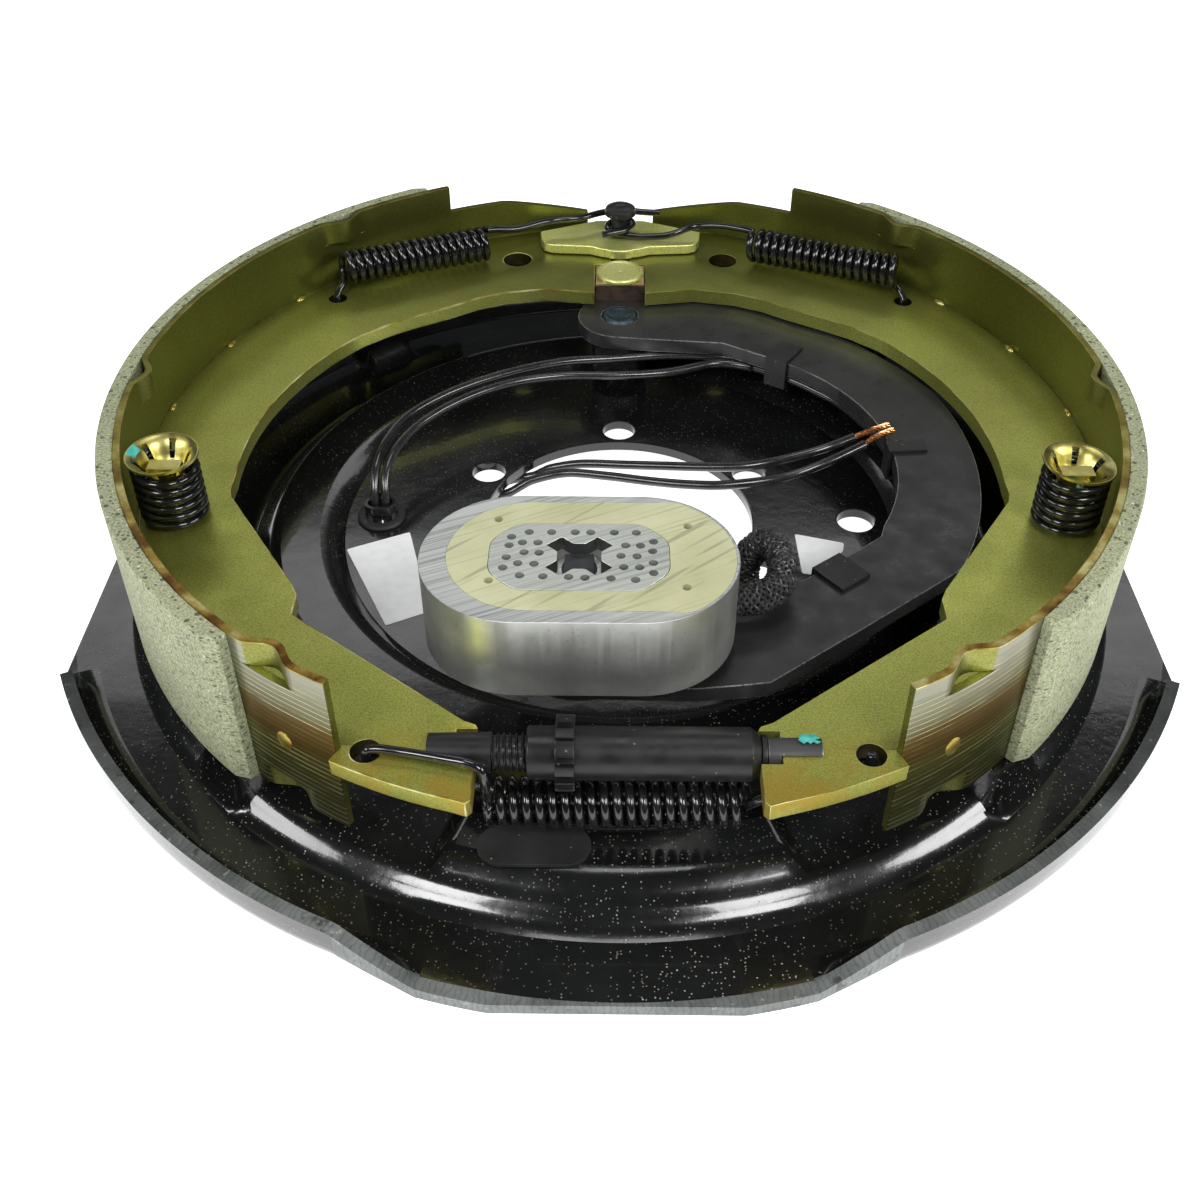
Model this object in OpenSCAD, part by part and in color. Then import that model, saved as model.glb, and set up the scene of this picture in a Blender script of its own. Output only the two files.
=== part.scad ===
// Electric drum brake assembly for a trailer wheel, 12 inch by 2 inch, right-hand side.
// It lies on its back. +Z points out of the wheel side, +Y to the anchor post, +X to the primary shoe.
// The origin is on the brake's axis, at the mounting face of the backing plate. Millimetres.

/* [Backing plate] */
// Radius of the shield's outer edge
shield_r = 175.7; // [174:0.1:179]
// Thickness of the pressed sheet
plate_t = 3.5; // [2.5:0.1:4]
// Top of the shield's lip above the mounting face
lip_top = 4.7; // [1:0.1:8]
// Depth of the shield's floor below the centre plate
shield_drop = 10.5; // [8:0.1:12]
// Distance from the axis to each straight side cut
side_cut = 163.5; // [160:0.5:166]
// Distance from the axis to the straight bottom cut
bottom_cut = 173; // [170:0.5:174]
// Radius of the spindle hole
hub_hole_r = 43.3; // [38:0.1:44]
// Radius of the circle of mounting holes
bolt_circle_r = 50.8; // [50:0.1:53]
// Radius of a mounting hole
bolt_hole_r = 5.6; // [4:0.1:6]
// Number of mounting holes
bolt_count = 6; // [4:1:6]
// Height of the annular ridge above the centre plate
ridge_h = 4; // [2:0.1:5]
// Distance from the axis to the two lead holes
lead_hole_x = 77; // [74:0.5:79]
// Radius of a lead hole
lead_hole_r = 6; // [5.5:0.1:7]

/* [Shoes] */
// Outer radius of the linings
lining_r = 152; // [151:0.1:152.2]
// Thickness of the linings
lining_t = 4.8; // [4:0.1:5]
// Thickness of the shoe rims
rim_t = 2.2; // [2:0.1:2.6]
// Width of the shoe rims and linings
shoe_w = 50.8; // [48:0.1:52]
// Height of the middle of the shoe webs above the mounting face
web_mid = 31.5; // [31:0.1:34]
// Thickness of the shoe webs
web_t = 5; // [4:0.1:5.2]
// Outer radius of the webs beyond the rims' lower ends
web_tip_r = 150.2; // [149.6:0.1:151]
// Radius of the webs' hollow inner edge
web_inner_r = 113; // [111:0.5:114]
// Primary lining: angle from +X to its anchor end
primary_top_a = 54; // [48:0.5:56]
// Primary lining: angle from +X to its adjuster end
primary_low_a = 45.8; // [40:0.1:49]
// Secondary lining: angle from -X to its anchor end
secondary_top_a = 61; // [55:0.5:63]
// Secondary lining: angle from -X to its adjuster end
secondary_low_a = 50.5; // [44:0.1:50.5]
// Height of the narrow part of the rims beside the anchor
tongue_w = 32; // [28:0.5:36]

/* [Anchor] */
// Distance from the axis to the anchor post
anchor_y = 133; // [132:0.1:134]
// Radius of the anchor post
anchor_r = 8; // [7:0.1:8.5]
// Radius of the anchor post's neck
anchor_neck_r = 3.4; // [3:0.1:3.6]
// Radius of the anchor post's head
anchor_head_r = 5.9; // [5.5:0.1:6.5]
// Thickness of the guide plate over the webs
guide_t = 3.6; // [3:0.1:4]
// Height of the anchor post's neck above the guide plate
neck_h = 6.6; // [6.2:0.1:8]

/* [Lever] */
// Distance from the axis to the lever pivot
pivot_y = 87.4; // [87:0.1:88]
// Radius of the lever pivot pin
pivot_pin_r = 6.5; // [6:0.1:7]
// Radial running clearance of the pivots
pivot_clear = 0.08; // [0.03:0.01:0.1]
// Thickness of the lever
lever_t = 5; // [4:0.1:5.5]
// Gap between the lever and the webs above it
lever_web_gap = 0.8; // [0.5:0.1:1.2]
// Radius of the lever's round end
lever_end_r = 15; // [14:0.1:16]
// Width of the actuating block between the webs
block_w = 17.6; // [16:0.1:18]
// Length of the actuating block
block_l = 14; // [12:0.1:15]
// Height of the actuating block
block_h = 7; // [6.5:0.1:8]
// Distance from the lever pivot to the block's stud
block_reach = 17.6; // [17:0.1:18]
// Radius of the block stud's head
stud_head_r = 8.5; // [8:0.1:8.6]

/* [Magnet] */
// Length of the magnet
magnet_l = 82; // [76:0.5:84]
// Width of the magnet
magnet_w = 50.5; // [48:0.5:52]
// Height of the magnet
magnet_h = 25; // [22:0.5:27]
// Gap between the magnet and the lever at rest
magnet_gap = 3.3; // [3.2:0.1:4]
// Wall of the magnet's steel case
magnet_wall = 5.5; // [4.5:0.1:6]
// Length of the magnet's core
core_l = 46; // [42:0.5:48]
// Width of the magnet's core
core_w = 26.5; // [24:0.5:28]
// Magnet centre, to the left of the brake's axis
magnet_x = 10.2; // [8:0.1:12]
// Magnet centre, below the brake's axis
magnet_y = 83.5; // [82:0.1:84]
// Radius of the post that carries the magnet
magnet_post_r = 5.5; // [5:0.1:6]

/* [Adjuster] */
// Distance from the axis to the adjuster
adjuster_y = 128; // [127.5:0.1:128.5]
// Outer radius of the adjuster sleeve
sleeve_r = 6.6; // [6.5:0.1:7]
// Length of the adjuster sleeve
sleeve_l = 56.2; // [55:0.1:57]
// Sleeve's open end, to the left of the brake's axis
sleeve_start = 22; // [21:0.1:23]
// Radius of the adjuster screw's thread
screw_r = 4.8; // [4.5:0.1:4.9]
// Radius of the adjuster screw's forked end
fork_r = 5; // [4.8:0.1:5.2]
// Radius of the socket at the sleeve's closed end
socket_r = 4.1; // [3.9:0.1:4.3]
// Tooth radius of the star wheel
star_r = 9.3; // [8.8:0.1:9.5]
// Number of teeth on the star wheel
star_teeth = 12; // [10:1:14]
// Width of the star wheel
star_w = 4.6; // [4:0.1:5]
// Radial clearance inside the adjuster sleeve
sleeve_clear = 0.3; // [0.25:0.05:0.4]

/* [Springs] */
// Wire diameter of the retracting springs
return_wire = 2.5; // [2.2:0.1:2.6]
// Outside diameter of the retracting springs
return_coil_d = 12.7; // [12:0.1:12.8]
// Turns of each retracting spring
return_turns = 17; // [14:1:18]
// Wire diameter of the adjuster spring
adjust_wire = 1.9; // [1.6:0.1:2]
// Outside diameter of the adjuster spring
adjust_coil_d = 12.5; // [12:0.1:12.6]
// Turns of the adjuster spring
adjust_turns = 20; // [16:1:21]
// Wire diameter of the hold-down springs
hold_wire = 2.2; // [2:0.1:2.4]
// Outside diameter of the hold-down springs
hold_coil_d = 19.5; // [18.5:0.1:19.5]
// Turns of each hold-down spring
hold_turns = 6; // [5:1:7]
// Radius of the hold-down cups
cup_r = 10.2; // [10:0.1:11]
// Height of the hold-down cups' rim above the webs
cup_top = 21.5; // [20:0.5:23]
// Angle of the hold-down pins below the X axis
hold_a = 17; // [14:0.5:20]
// Radius of the hold-down pins
hold_pin_r = 2.4; // [2:0.1:2.6]

/* [Leads] */
// Diameter of each lead over its insulation
lead_d = 3; // [2.6:0.1:3.2]
// Diameter of the braided sleeve
braid_d = 8.4; // [7.5:0.1:8.6]

/* [Hidden] */
$fn = 72;

gap = 0.3;            // clearance between pieces that move past each other
eps = 0.01;           // overlap that makes a cut clean

// Heights
shield_floor = plate_t - shield_drop;
web_low = web_mid - web_t / 2;
web_high = web_mid + web_t / 2;
rim_low = web_mid - shoe_w / 2;
rim_high = web_mid + shoe_w / 2;
lever_high = web_low - lever_web_gap;
lever_low = lever_high - lever_t;
guide_low = web_high + gap;
guide_high = guide_low + guide_t;
magnet_low = lever_high + magnet_gap;
magnet_high = magnet_low + magnet_h;

// Radii of the plate's rings, from the axis outwards
ridge_in = 90;
ridge_out = 112;
trench_r = 121;
step_r = 147;
step_run = 6;
trench_floor = -2;

// Radii of the shoes
rim_out = lining_r - lining_t;
rim_in = rim_out - rim_t;
rim_end_a = 62.6;     // rim's adjuster end, from the X axis
rim_top_a = 64;       // rim's full width ends here beside the anchor, from the X axis
tongue_end = 12.5;    // rim's narrow tip, from the Y axis
pad_top = rim_low - gap;

// Hold-down pins stand so that the cups just clear the rims
hold_r = rim_in - cup_r - 0.8;
hold_x = hold_r * cos(hold_a);
hold_y = hold_r * sin(hold_a);

// Ends of the webs, where the adjuster's forks straddle them
fork_mouth = 34;
fork_seat = 39.3;
fork_half = fork_r + gap;

function arc(c, r, a0, a1, n = 24) =
  [for (i = [0:n]) let (a = a0 + (a1 - a0) * i / n) c + r * [cos(a), sin(a)]];
function racetrack(l, w, n = 24) = concat(arc([l / 2 - w / 2, 0], w / 2, -90, 90, n),
  arc([w / 2 - l / 2, 0], w / 2, 90, 270, n));
function circle_x(r, y) = sqrt(r * r - y * y);

// Tube swept along a list of points, with a frame that doesn't twist
function unit(v) = v / norm(v);
function tangent(p, i) = unit(p[min(i + 1, len(p) - 1)] - p[max(i - 1, 0)]);
function first_normal(t) = unit(abs(t[2]) < 0.9 ? cross(t, [0, 0, 1]) : cross(t, [1, 0, 0]));
function frames(p) = [for (i = 0, n = first_normal(tangent(p, 0)); i < len(p);
  i = i + 1, n = i < len(p) ? unit(n - (n * tangent(p, i)) * tangent(p, i)) : n) n];
module sweep(p, r, sides) {
  n = frames(p);
  rings = [for (i = [0:len(p) - 1]) let (b = cross(tangent(p, i), n[i]))
    for (k = [0:sides - 1]) p[i] + r * (cos(360 * k / sides) * n[i] + sin(360 * k / sides) * b)];
  walls = [for (i = [0:len(p) - 2], k = [0:sides - 1])
    [i * sides + k, i * sides + (k + 1) % sides, (i + 1) * sides + (k + 1) % sides, (i + 1) * sides + k]];
  ends = [[for (k = [0:sides - 1]) sides - 1 - k], [for (k = [0:sides - 1]) (len(p) - 1) * sides + k]];
  polyhedron(points = rings, faces = [for (f = concat(walls, ends)) [for (k = [len(f) - 1:-1:0]) f[k]]]);
}

// Smooth curve through hand-chosen points
function spline_at(a, b, c, d, t) = 0.5 * (2 * b + (c - a) * t + (2 * a - 5 * b + 4 * c - d) * t * t
  + (3 * b - a - 3 * c + d) * t * t * t);
function smooth(p, n) = [for (i = [0:len(p) - 2], k = [0:n - (i < len(p) - 2 ? 1 : 0)])
  spline_at(i > 0 ? p[i - 1] : 2 * p[0] - p[1], p[i], p[i + 1],
    i < len(p) - 2 ? p[i + 2] : 2 * p[i + 1] - p[i], k / n)];

// Coil turns between two points, with a start angle about the coil's axis
coil_steps = 12;
function coil(p0, p1, r, turns, a0) = let (x = unit(p1 - p0), s = first_normal(x), u = cross(x, s))
  [for (i = [0:turns * coil_steps]) let (a = a0 + 360 * i / coil_steps)
    p0 + (p1 - p0) * i / (turns * coil_steps) + r * (cos(a) * s + sin(a) * u)];

module mirrored_x() {
  children();
  mirror([1, 0, 0]) children();
}

// Pressed backing plate: centre plate, ridge, trench, shield floor and lip, one sheet
module plate_section() {
  lip_in = shield_r - plate_t;
  polygon([[hub_hole_r, 0], [hub_hole_r, plate_t], [ridge_in - 2, plate_t],
    [ridge_in + 3, plate_t + ridge_h], [ridge_out - 2, plate_t + ridge_h],
    [trench_r - 2, trench_floor], [step_r, trench_floor], [step_r + step_run, shield_floor],
    [lip_in - 4, shield_floor], [lip_in, shield_floor + 4.5], [lip_in, lip_top],
    [shield_r, lip_top], [shield_r, shield_floor + 2.5], [shield_r - 6, shield_floor - plate_t],
    [step_r + step_run - 1.3, shield_floor - plate_t], [step_r - 1.3, trench_floor - plate_t],
    [trench_r - 4, trench_floor - plate_t], [ridge_out - 4, plate_t + ridge_h - plate_t],
    [ridge_in + 4.5, plate_t + ridge_h - plate_t], [ridge_in - 0.5, 0]]);
}
module shield_cuts() {
  reach = shield_r + 10;
  mirrored_x() translate([side_cut, -reach, -30]) cube([20, 2 * reach, 60]);
  translate([-reach, -bottom_cut - 20, -30]) cube([2 * reach, 20, 60]);
  // The lip runs out in a slope at each end of the three straight cuts
  translate([0, -step_r - 10, 0]) rotate([90, 0, 0]) lip_slope(48.5, 20);
  mirrored_x() translate([step_r + 10, 0, 0]) rotate([90, 0, 90]) lip_slope(64, 11);
}
module lip_slope(half, run) linear_extrude(40) polygon([[-half, shield_floor], [half, shield_floor],
  [half + run, lip_top + eps], [half + run, lip_top + 10], [-half - run, lip_top + 10],
  [-half - run, lip_top + eps]]);
// Raised pads that carry the shoe rims
pad_angles = [50, 2, -45];
pad_w = 22;
module pads(w, inset, top, depth) mirrored_x() for (a = pad_angles) rotate([0, 0, a])
  translate([0, w / 2, 0]) rotate([90, 0, 0]) linear_extrude(w) polygon([
    [rim_in - 13 + inset, trench_floor - depth], [rim_in - 4 + inset, top], [rim_out + 2 - inset, top],
    [rim_out + 8 - inset, shield_floor - depth]]);

// Raised bridge under the adjuster, with its oblong slot
bridge_top = 1.5;
bridge_half_a = 19.4;
module bridge(half_a, section) rotate([0, 0, 270 - half_a]) rotate_extrude(angle = 2 * half_a)
  polygon(section);
bridge_over = [[trench_r + 1, trench_floor - 1.5], [trench_r + 1, bridge_top], [step_r - 3.6, bridge_top],
  [step_r + 4, shield_floor + 2], [step_r + 3.6, shield_floor + 0.8], [step_r, trench_floor - 1.5]];
bridge_under = [[trench_r + 4, shield_floor - plate_t - 2], [trench_r + 4, bridge_top - plate_t],
  [step_r - 4.9, bridge_top - plate_t], [step_r + 2.5, shield_floor - 1.4],
  [step_r + 2.5, shield_floor - plate_t - 2]];
slot_x = -21;
slot_y = -133;
slot_l = 26;
slot_w = 9.6;
module plate_blank() {
  difference() {
    union() {
      rotate_extrude($fn = 180) plate_section();
      bridge(bridge_half_a, bridge_over);
      pads(pad_w, 0, pad_top, 0.5);
    }
    shield_cuts();
    pads(pad_w - 6, 3, pad_top - plate_t, plate_t + 2);
    bridge(bridge_half_a - 1.5, bridge_under);
  }
}
module backing_plate() color([0.07, 0.07, 0.07]) difference() {
  plate_blank();
  for (i = [0:bolt_count - 1]) rotate([0, 0, 90 + i * 360 / bolt_count])
    translate([bolt_circle_r, 0, -eps]) cylinder(h = plate_t + 2 * eps, r = bolt_hole_r);
  mirrored_x() translate([lead_hole_x, 0, -eps]) cylinder(h = plate_t + 2 * eps, r = lead_hole_r);
  translate([slot_x, slot_y, bridge_top - plate_t - 1]) linear_extrude(plate_t + 2)
    polygon(racetrack(slot_l, slot_w));
  // Seats of the anchor post, the lever pin and the two hold-down pins
  translate([0, anchor_y, -30]) cylinder(h = 60, r = anchor_foot_r);
  translate([0, pivot_y, -30]) cylinder(h = 60, r = pivot_foot_r);
  mirrored_x() translate([hold_x, -hold_y, -30]) cylinder(h = 60, r = hold_pin_r + gap);
}

// Anchor post: riveted foot, shoulder, neck and mushroom head
anchor_foot_r = 7;
anchor_head_h = 4.6;
module anchor_post() color([0.1, 0.1, 0.1]) translate([0, anchor_y, 0]) {
  foot = trench_floor - plate_t;
  translate([0, 0, foot - 2]) cylinder(h = 2, r1 = anchor_foot_r + 1, r2 = anchor_foot_r + 2.5);
  translate([0, 0, foot]) cylinder(h = plate_t, r = anchor_foot_r);
  translate([0, 0, trench_floor]) cylinder(h = 8, r = anchor_r + 4);
  translate([0, 0, trench_floor + 8]) cylinder(h = guide_low - trench_floor - 8, r = anchor_r);
  translate([0, 0, guide_low]) cylinder(h = guide_t + neck_h, r = anchor_neck_r);
  translate([0, 0, guide_high + neck_h]) cylinder(h = 1.4, r1 = anchor_neck_r, r2 = anchor_head_r);
  translate([0, 0, guide_high + neck_h + 1.4]) cylinder(h = 1.2, r = anchor_head_r);
  translate([0, 0, guide_high + neck_h + 2.6])
    cylinder(h = anchor_head_h - 2.6, r1 = anchor_head_r, r2 = anchor_head_r * 0.55);
}

// Guide plate that keeps both webs down on the anchor
guide_w = 61;
guide_front = 15;
module anchor_guide_plate() color([0.62, 0.6, 0.22]) translate([0, anchor_y, guide_low]) difference() {
  linear_extrude(guide_t) polygon(concat(
    [[-guide_w / 2, 1], [-guide_w / 2 + 2, -8.5], [-guide_w / 2 + 5, -10]],
    [[-11, -11], [-7, -13]], arc([0, -guide_front + 9], 9, 235, 305, 8), [[7, -13], [11, -11]],
    [[guide_w / 2 - 5, -10], [guide_w / 2 - 2, -8.5], [guide_w / 2, 1]],
    [[9, 10.4], [-9, 10.4]]));
  translate([0, 0, -eps]) cylinder(h = guide_t + 2 * eps, r = anchor_neck_r + gap / 2);
}

// Lever pivot pin, riveted through the edge of the centre plate
pivot_foot_r = 5.5;
module lever_pivot_pin() color([0.12, 0.14, 0.16]) translate([0, pivot_y, 0]) {
  shoulder_low = plate_t + ridge_h;
  translate([0, 0, -2]) cylinder(h = 2, r = pivot_foot_r + 2.5);
  cylinder(h = shoulder_low, r = pivot_foot_r);
  translate([0, 0, shoulder_low]) cylinder(h = lever_low - gap - shoulder_low, r = pivot_pin_r + 3.5);
  translate([0, 0, lever_low - gap]) cylinder(h = lever_t + gap + 0.6, r = pivot_pin_r);
}

// Hold-down pins: flat head behind the plate, long shank, cross head above the cup
hold_head_z = web_high + cup_top - 5.5;
module hold_down_pins() color([0.55, 0.5, 0.35]) mirrored_x() translate([hold_x, -hold_y, 0]) {
  translate([0, 0, trench_floor - plate_t - 1.8]) cylinder(h = 1.8, r = hold_pin_r + 2.6);
  translate([0, 0, trench_floor - plate_t]) cylinder(h = hold_head_z - trench_floor + plate_t, r = hold_pin_r);
  translate([-4.6, -hold_pin_r, hold_head_z]) cube([9.2, 2 * hold_pin_r, 2.2]);
}

// Rubber plug in the adjuster slot
module adjuster_slot_plug() color([0.05, 0.05, 0.05]) translate([slot_x, slot_y, 0]) {
  translate([0, 0, bridge_top]) linear_extrude(1.2) polygon(racetrack(slot_l + 3, slot_w + 3));
  translate([0, 0, bridge_top - plate_t]) linear_extrude(plate_t) polygon(racetrack(slot_l, slot_w));
  translate([0, 0, bridge_top - plate_t - 1.5]) linear_extrude(1.5) polygon(racetrack(slot_l + 2.4, slot_w + 2.4));
}

// Rubber grommet in the left lead hole, and the tie round the leads above it
grommet_wall = 1.3;
module lead_grommet() color([0.05, 0.05, 0.05]) translate([-lead_hole_x, 0, 0]) difference() {
  union() {
    translate([0, 0, plate_t]) cylinder(h = 1.5, r = lead_hole_r + 1.8);
    cylinder(h = plate_t, r = lead_hole_r);
    translate([0, 0, -1.5]) cylinder(h = 1.5, r = lead_hole_r + 1.4);
  }
  translate([0, 0, -2]) cylinder(h = plate_t + 4, r = lead_hole_r - grommet_wall);
}
tie_z = plate_t + 3;
module cable_tie() color([0.03, 0.03, 0.03]) translate([-lead_hole_x, 0, tie_z]) {
  difference() {
    linear_extrude(3) polygon(racetrack(2 * lead_d + 4.4, lead_d + 4));
    translate([0, 0, -eps]) linear_extrude(4) polygon(racetrack(2 * lead_d + 2, lead_d + 1.6));
  }
  translate([-3, lead_d / 2 + 2, -1]) cube([5, 3.5, 5]);
  translate([-1.5, lead_d / 2 + 5.5, 0]) cube([1.4, 5, 2.6]);
}

// Blank paper labels on the centre plate
label_t = 0.15;
module label_left() color("white") translate([0, 0, plate_t])
  linear_extrude(label_t) polygon([[-86, -17], [-67, -8], [-56.5, -46], [-69, -52.5]]);
module label_right() color("white") translate([0, 0, plate_t])
  linear_extrude(label_t) polygon([[56.5, -7.6], [71.8, -12], [71, -16], [62, -28], [57, -27]]);

// Lever: a flat C-shaped arm from the block's stud, round the pivot, to the magnet
stud_r = 5;
block_y = pivot_y + block_reach;
lever_arc_c = [16.5, -1];
lever_arc_r = 69.8;
lever_out_r = 111.3;
lever_ear = arc([0, block_y], stud_r + 4.5, 0, 180, 16);
lever_in = concat(lever_ear, arc([0, pivot_y], lever_end_r, 150, 262, 20),
  [[12, pivot_y - 16.4], [36, pivot_y - 18.5]], arc(lever_arc_c, lever_arc_r, 60, -28, 18),
  [[76.5, -39], [69, -45.5], [52, -59]]);
lever_pad = concat([[18, -65.5]], arc([-magnet_x, -magnet_y], 19, 75, 285, 24), [[20, -102.5]]);
lever_out = concat([[31, -101.2], [39.5, -100], [64.6, -80.3], [93, -57.4], [96, -55]],
  arc([0, 0], lever_out_r, -28.5, 20, 16), [[98, 50], [84, 68], [62, 86], [34, 100]]);
module lever_arm() color([0.12, 0.12, 0.12]) difference() {
  translate([0, 0, lever_low]) linear_extrude(lever_t) polygon(concat(lever_in, lever_pad, lever_out));
  translate([0, pivot_y, lever_low - eps]) cylinder(h = lever_t + 2 * eps, r = pivot_pin_r + pivot_clear);
  translate([0, pivot_y + block_reach, lever_low - eps]) cylinder(h = lever_t + 2 * eps, r = stud_r + pivot_clear);
  translate([-magnet_x, -magnet_y, lever_low - eps]) cylinder(h = lever_t + 2 * eps, r = magnet_post_r - 1);
}

// Spring-steel clips over the lever's inner edge, and the leads they hold below it
clip_t = 1.2;
lead_under = lever_low - lead_d / 2 - 0.4;
module lead_clip(p, a, l) color([0.1, 0.1, 0.1]) translate(p) rotate([0, 0, a]) {
  depth = lever_low - lead_under + lead_d / 2 + 0.3;
  translate([-l / 2, 0, lever_high]) cube([l, 11, clip_t]);
  translate([-l / 2, -clip_t, lever_low - depth - clip_t]) cube([l, clip_t, lever_t + depth + 2 * clip_t]);
  translate([-l / 2, 0, lever_low - depth - clip_t]) cube([l, 11, clip_t]);
}
module clip_on_arc(a, l)
  lead_clip(concat(lever_arc_c + (lever_arc_r - gap) * [cos(a), sin(a)], [0]), a - 90, l);
module lead_clip_upper() clip_on_arc(57, 8);
module lead_clip_middle() clip_on_arc(5, 6);
module lead_clip_lower() lead_clip([59.6, -52.5, 0], -141.5, 11);

// Post riveted into the lever that carries the magnet
post_top = magnet_high - 4;
module magnet_post() color([0.3, 0.3, 0.3]) translate([-magnet_x, -magnet_y, 0]) {
  translate([0, 0, lever_low - 1.5]) cylinder(h = 1.5, r = magnet_post_r + 2);
  translate([0, 0, lever_low]) cylinder(h = lever_t, r = magnet_post_r - 1);
  translate([0, 0, lever_high]) cylinder(h = post_top - lever_high, r = magnet_post_r - 0.9);
}

// The two leads where the lever carries them, below its inner edge
arm_route = [[56, -56], [66, -48.2], [76.5, -38], [83.5, -19], [86.2, 3], [82.5, 22], [73.5, 39.5], [64, 50],
  [56, 56.6], [46, 62.6]];
lead_pitch = lead_d + 0.4;
lead_inset = lead_d + 0.5;
function beside(q, side) = let (n = unit([q[0] - 14, q[1] - 4]), d = side * lead_pitch / 2 + lead_inset)
  [q[0] + n[0] * d, q[1] + n[1] * d, lead_under];
arm_start = [44.2, -55.5, 19.2];
function arm_lead(side) =
  concat([arm_start - [0, side * lead_pitch / 2, 0]], [for (q = arm_route) beside(q, side)]);
arm_last = arm_route[len(arm_route) - 1] + [-0.7, 0.4];
module arm_leads() color([0.05, 0.05, 0.05]) for (side = [-1, 1])
  sweep(smooth(arm_lead(side), 3), lead_d / 2, 8);

// The two leads from the lever's upper clip across to the grommet
span_a = concat([beside(arm_last, 1)], [[34, 71.5, 21.2], [16, 72, 21.1], [-2, 69.3, 21.3], [-20, 65, 22.4],
  [-38, 57, 23], [-56, 45.5, 23], [-70, 31, 22.6], [-76, 18, 21.2], [-78.4, 8, 18], [-78.7, 2, 13], [-78.7, 0, 8],
  [-78.7, 0, 3.5], [-78.7, 0, -1]]);
span_b = concat([beside(arm_last, -1)], [[34, 66.5, 21.2], [16, 60, 21.4], [-2, 57, 22], [-20, 55.5, 22.6],
  [-38, 50.2, 22.8], [-53.6, 40, 22.6], [-66, 27, 21.8], [-72.4, 15, 20.4], [-75, 6.5, 17.2], [-75.3, 1.5, 12.5],
  [-75.3, 0, 8], [-75.3, 0, 3.5], [-75.3, 0, -1]]);
module span_leads() color([0.05, 0.05, 0.05]) {
  sweep(smooth(span_a, 3), lead_d / 2, 8);
  sweep(smooth(span_b, 3), lead_d / 2, 8);
}

// Actuating block on its stud, between the ends of the webs
module actuating_block() color([0.6, 0.5, 0.35]) difference() {
  translate([-block_w / 2, block_y - block_l / 2, lever_high]) cube([block_w, block_l, block_h]);
  translate([0, block_y, lever_high - eps]) cylinder(h = block_h + 2 * eps, r = stud_r - 0.5);
}
module block_stud() color([0.7, 0.68, 0.4]) translate([0, block_y, 0]) {
  translate([0, 0, lever_low]) cylinder(h = lever_t, r = stud_r);
  translate([0, 0, lever_high]) cylinder(h = block_h, r = stud_r - 0.5);
  translate([0, 0, lever_high + block_h]) cylinder(h = 1.6, r = stud_head_r);
}

// Magnet: steel case with the core standing in it, the coil between them under cast resin
potting_depth = 4;
case_floor = 3;
core_corner = 7;
function core_outline(l, w, c) = [[l / 2, w / 2 - c], [l / 2 - c, w / 2], [c - l / 2, w / 2], [-l / 2, w / 2 - c],
  [-l / 2, c - w / 2], [c - l / 2, -w / 2], [l / 2 - c, -w / 2], [l / 2, c - w / 2]];
module magnet_place() translate([-magnet_x, -magnet_y, magnet_low]) children();
module magnet_case() color([0.7, 0.7, 0.7]) magnet_place() difference() {
  linear_extrude(magnet_h) polygon(racetrack(magnet_l, magnet_w));
  translate([0, 0, case_floor]) linear_extrude(magnet_h)
    polygon(racetrack(magnet_l - 2 * magnet_wall, magnet_w - 2 * magnet_wall));
  translate([0, 0, -eps]) cylinder(h = magnet_h, r = magnet_post_r + 0.5);
}
// Quarter of the core's X-shaped opening
cross_quarter = [[5.6, 1.8], [8.6, 4.4], [4.6, 7.8], [1.6, 5]];
cross_outline = concat(cross_quarter, [for (i = [3:-1:0]) [-cross_quarter[i][0], cross_quarter[i][1]]],
  [for (q = cross_quarter) -q], [for (i = [3:-1:0]) [cross_quarter[i][0], -cross_quarter[i][1]]]);
module magnet_core() color([0.55, 0.55, 0.57]) magnet_place() translate([0, 0, case_floor]) difference() {
  linear_extrude(magnet_h - case_floor) polygon(core_outline(core_l, core_w, core_corner));
  translate([0, 0, -eps]) linear_extrude(magnet_h) polygon(cross_outline);
}
module magnet_ring(z0, z1, inset) translate([0, 0, z0]) difference() {
  linear_extrude(z1 - z0)
    polygon(racetrack(magnet_l - 2 * magnet_wall - 2 * inset, magnet_w - 2 * magnet_wall - 2 * inset));
  translate([0, 0, -eps]) linear_extrude(z1 - z0 + 2 * eps)
    polygon(core_outline(core_l + 2 * inset, core_w + 2 * inset, core_corner));
}
potting_hole_r = 1.4;
module magnet_potting() color([0.72, 0.68, 0.45]) magnet_place() difference() {
  magnet_ring(magnet_h - potting_depth, magnet_h, 0);
  for (x = [-1, 1], y = [-1, 1]) translate([x * 26, y * 14.5, magnet_h - 3])
    cylinder(h = 4, r = potting_hole_r);
}
module magnet_coil() color([0.7, 0.4, 0.2]) magnet_place() magnet_ring(case_floor, magnet_h - potting_depth, 0.5);

// Retainer on the post, inside the core's X-shaped opening
module magnet_retainer() color([0.25, 0.25, 0.25]) translate([-magnet_x, -magnet_y, post_top]) {
  translate([-3.8, -3.8, 0]) cube([7.6, 7.6, 1.5]);
}
spring_wire = 1.6;
module magnet_spring() color([0.6, 0.6, 0.6])
  sweep([for (i = [0:48]) let (a = 7.5 * i * 3, r = 16 - i / 8)
    [-magnet_x + r * cos(a), -magnet_y + r * sin(a),
      lever_high + spring_wire / 2 + (magnet_gap - spring_wire) * i / 48]], spring_wire / 2, 6);

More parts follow.
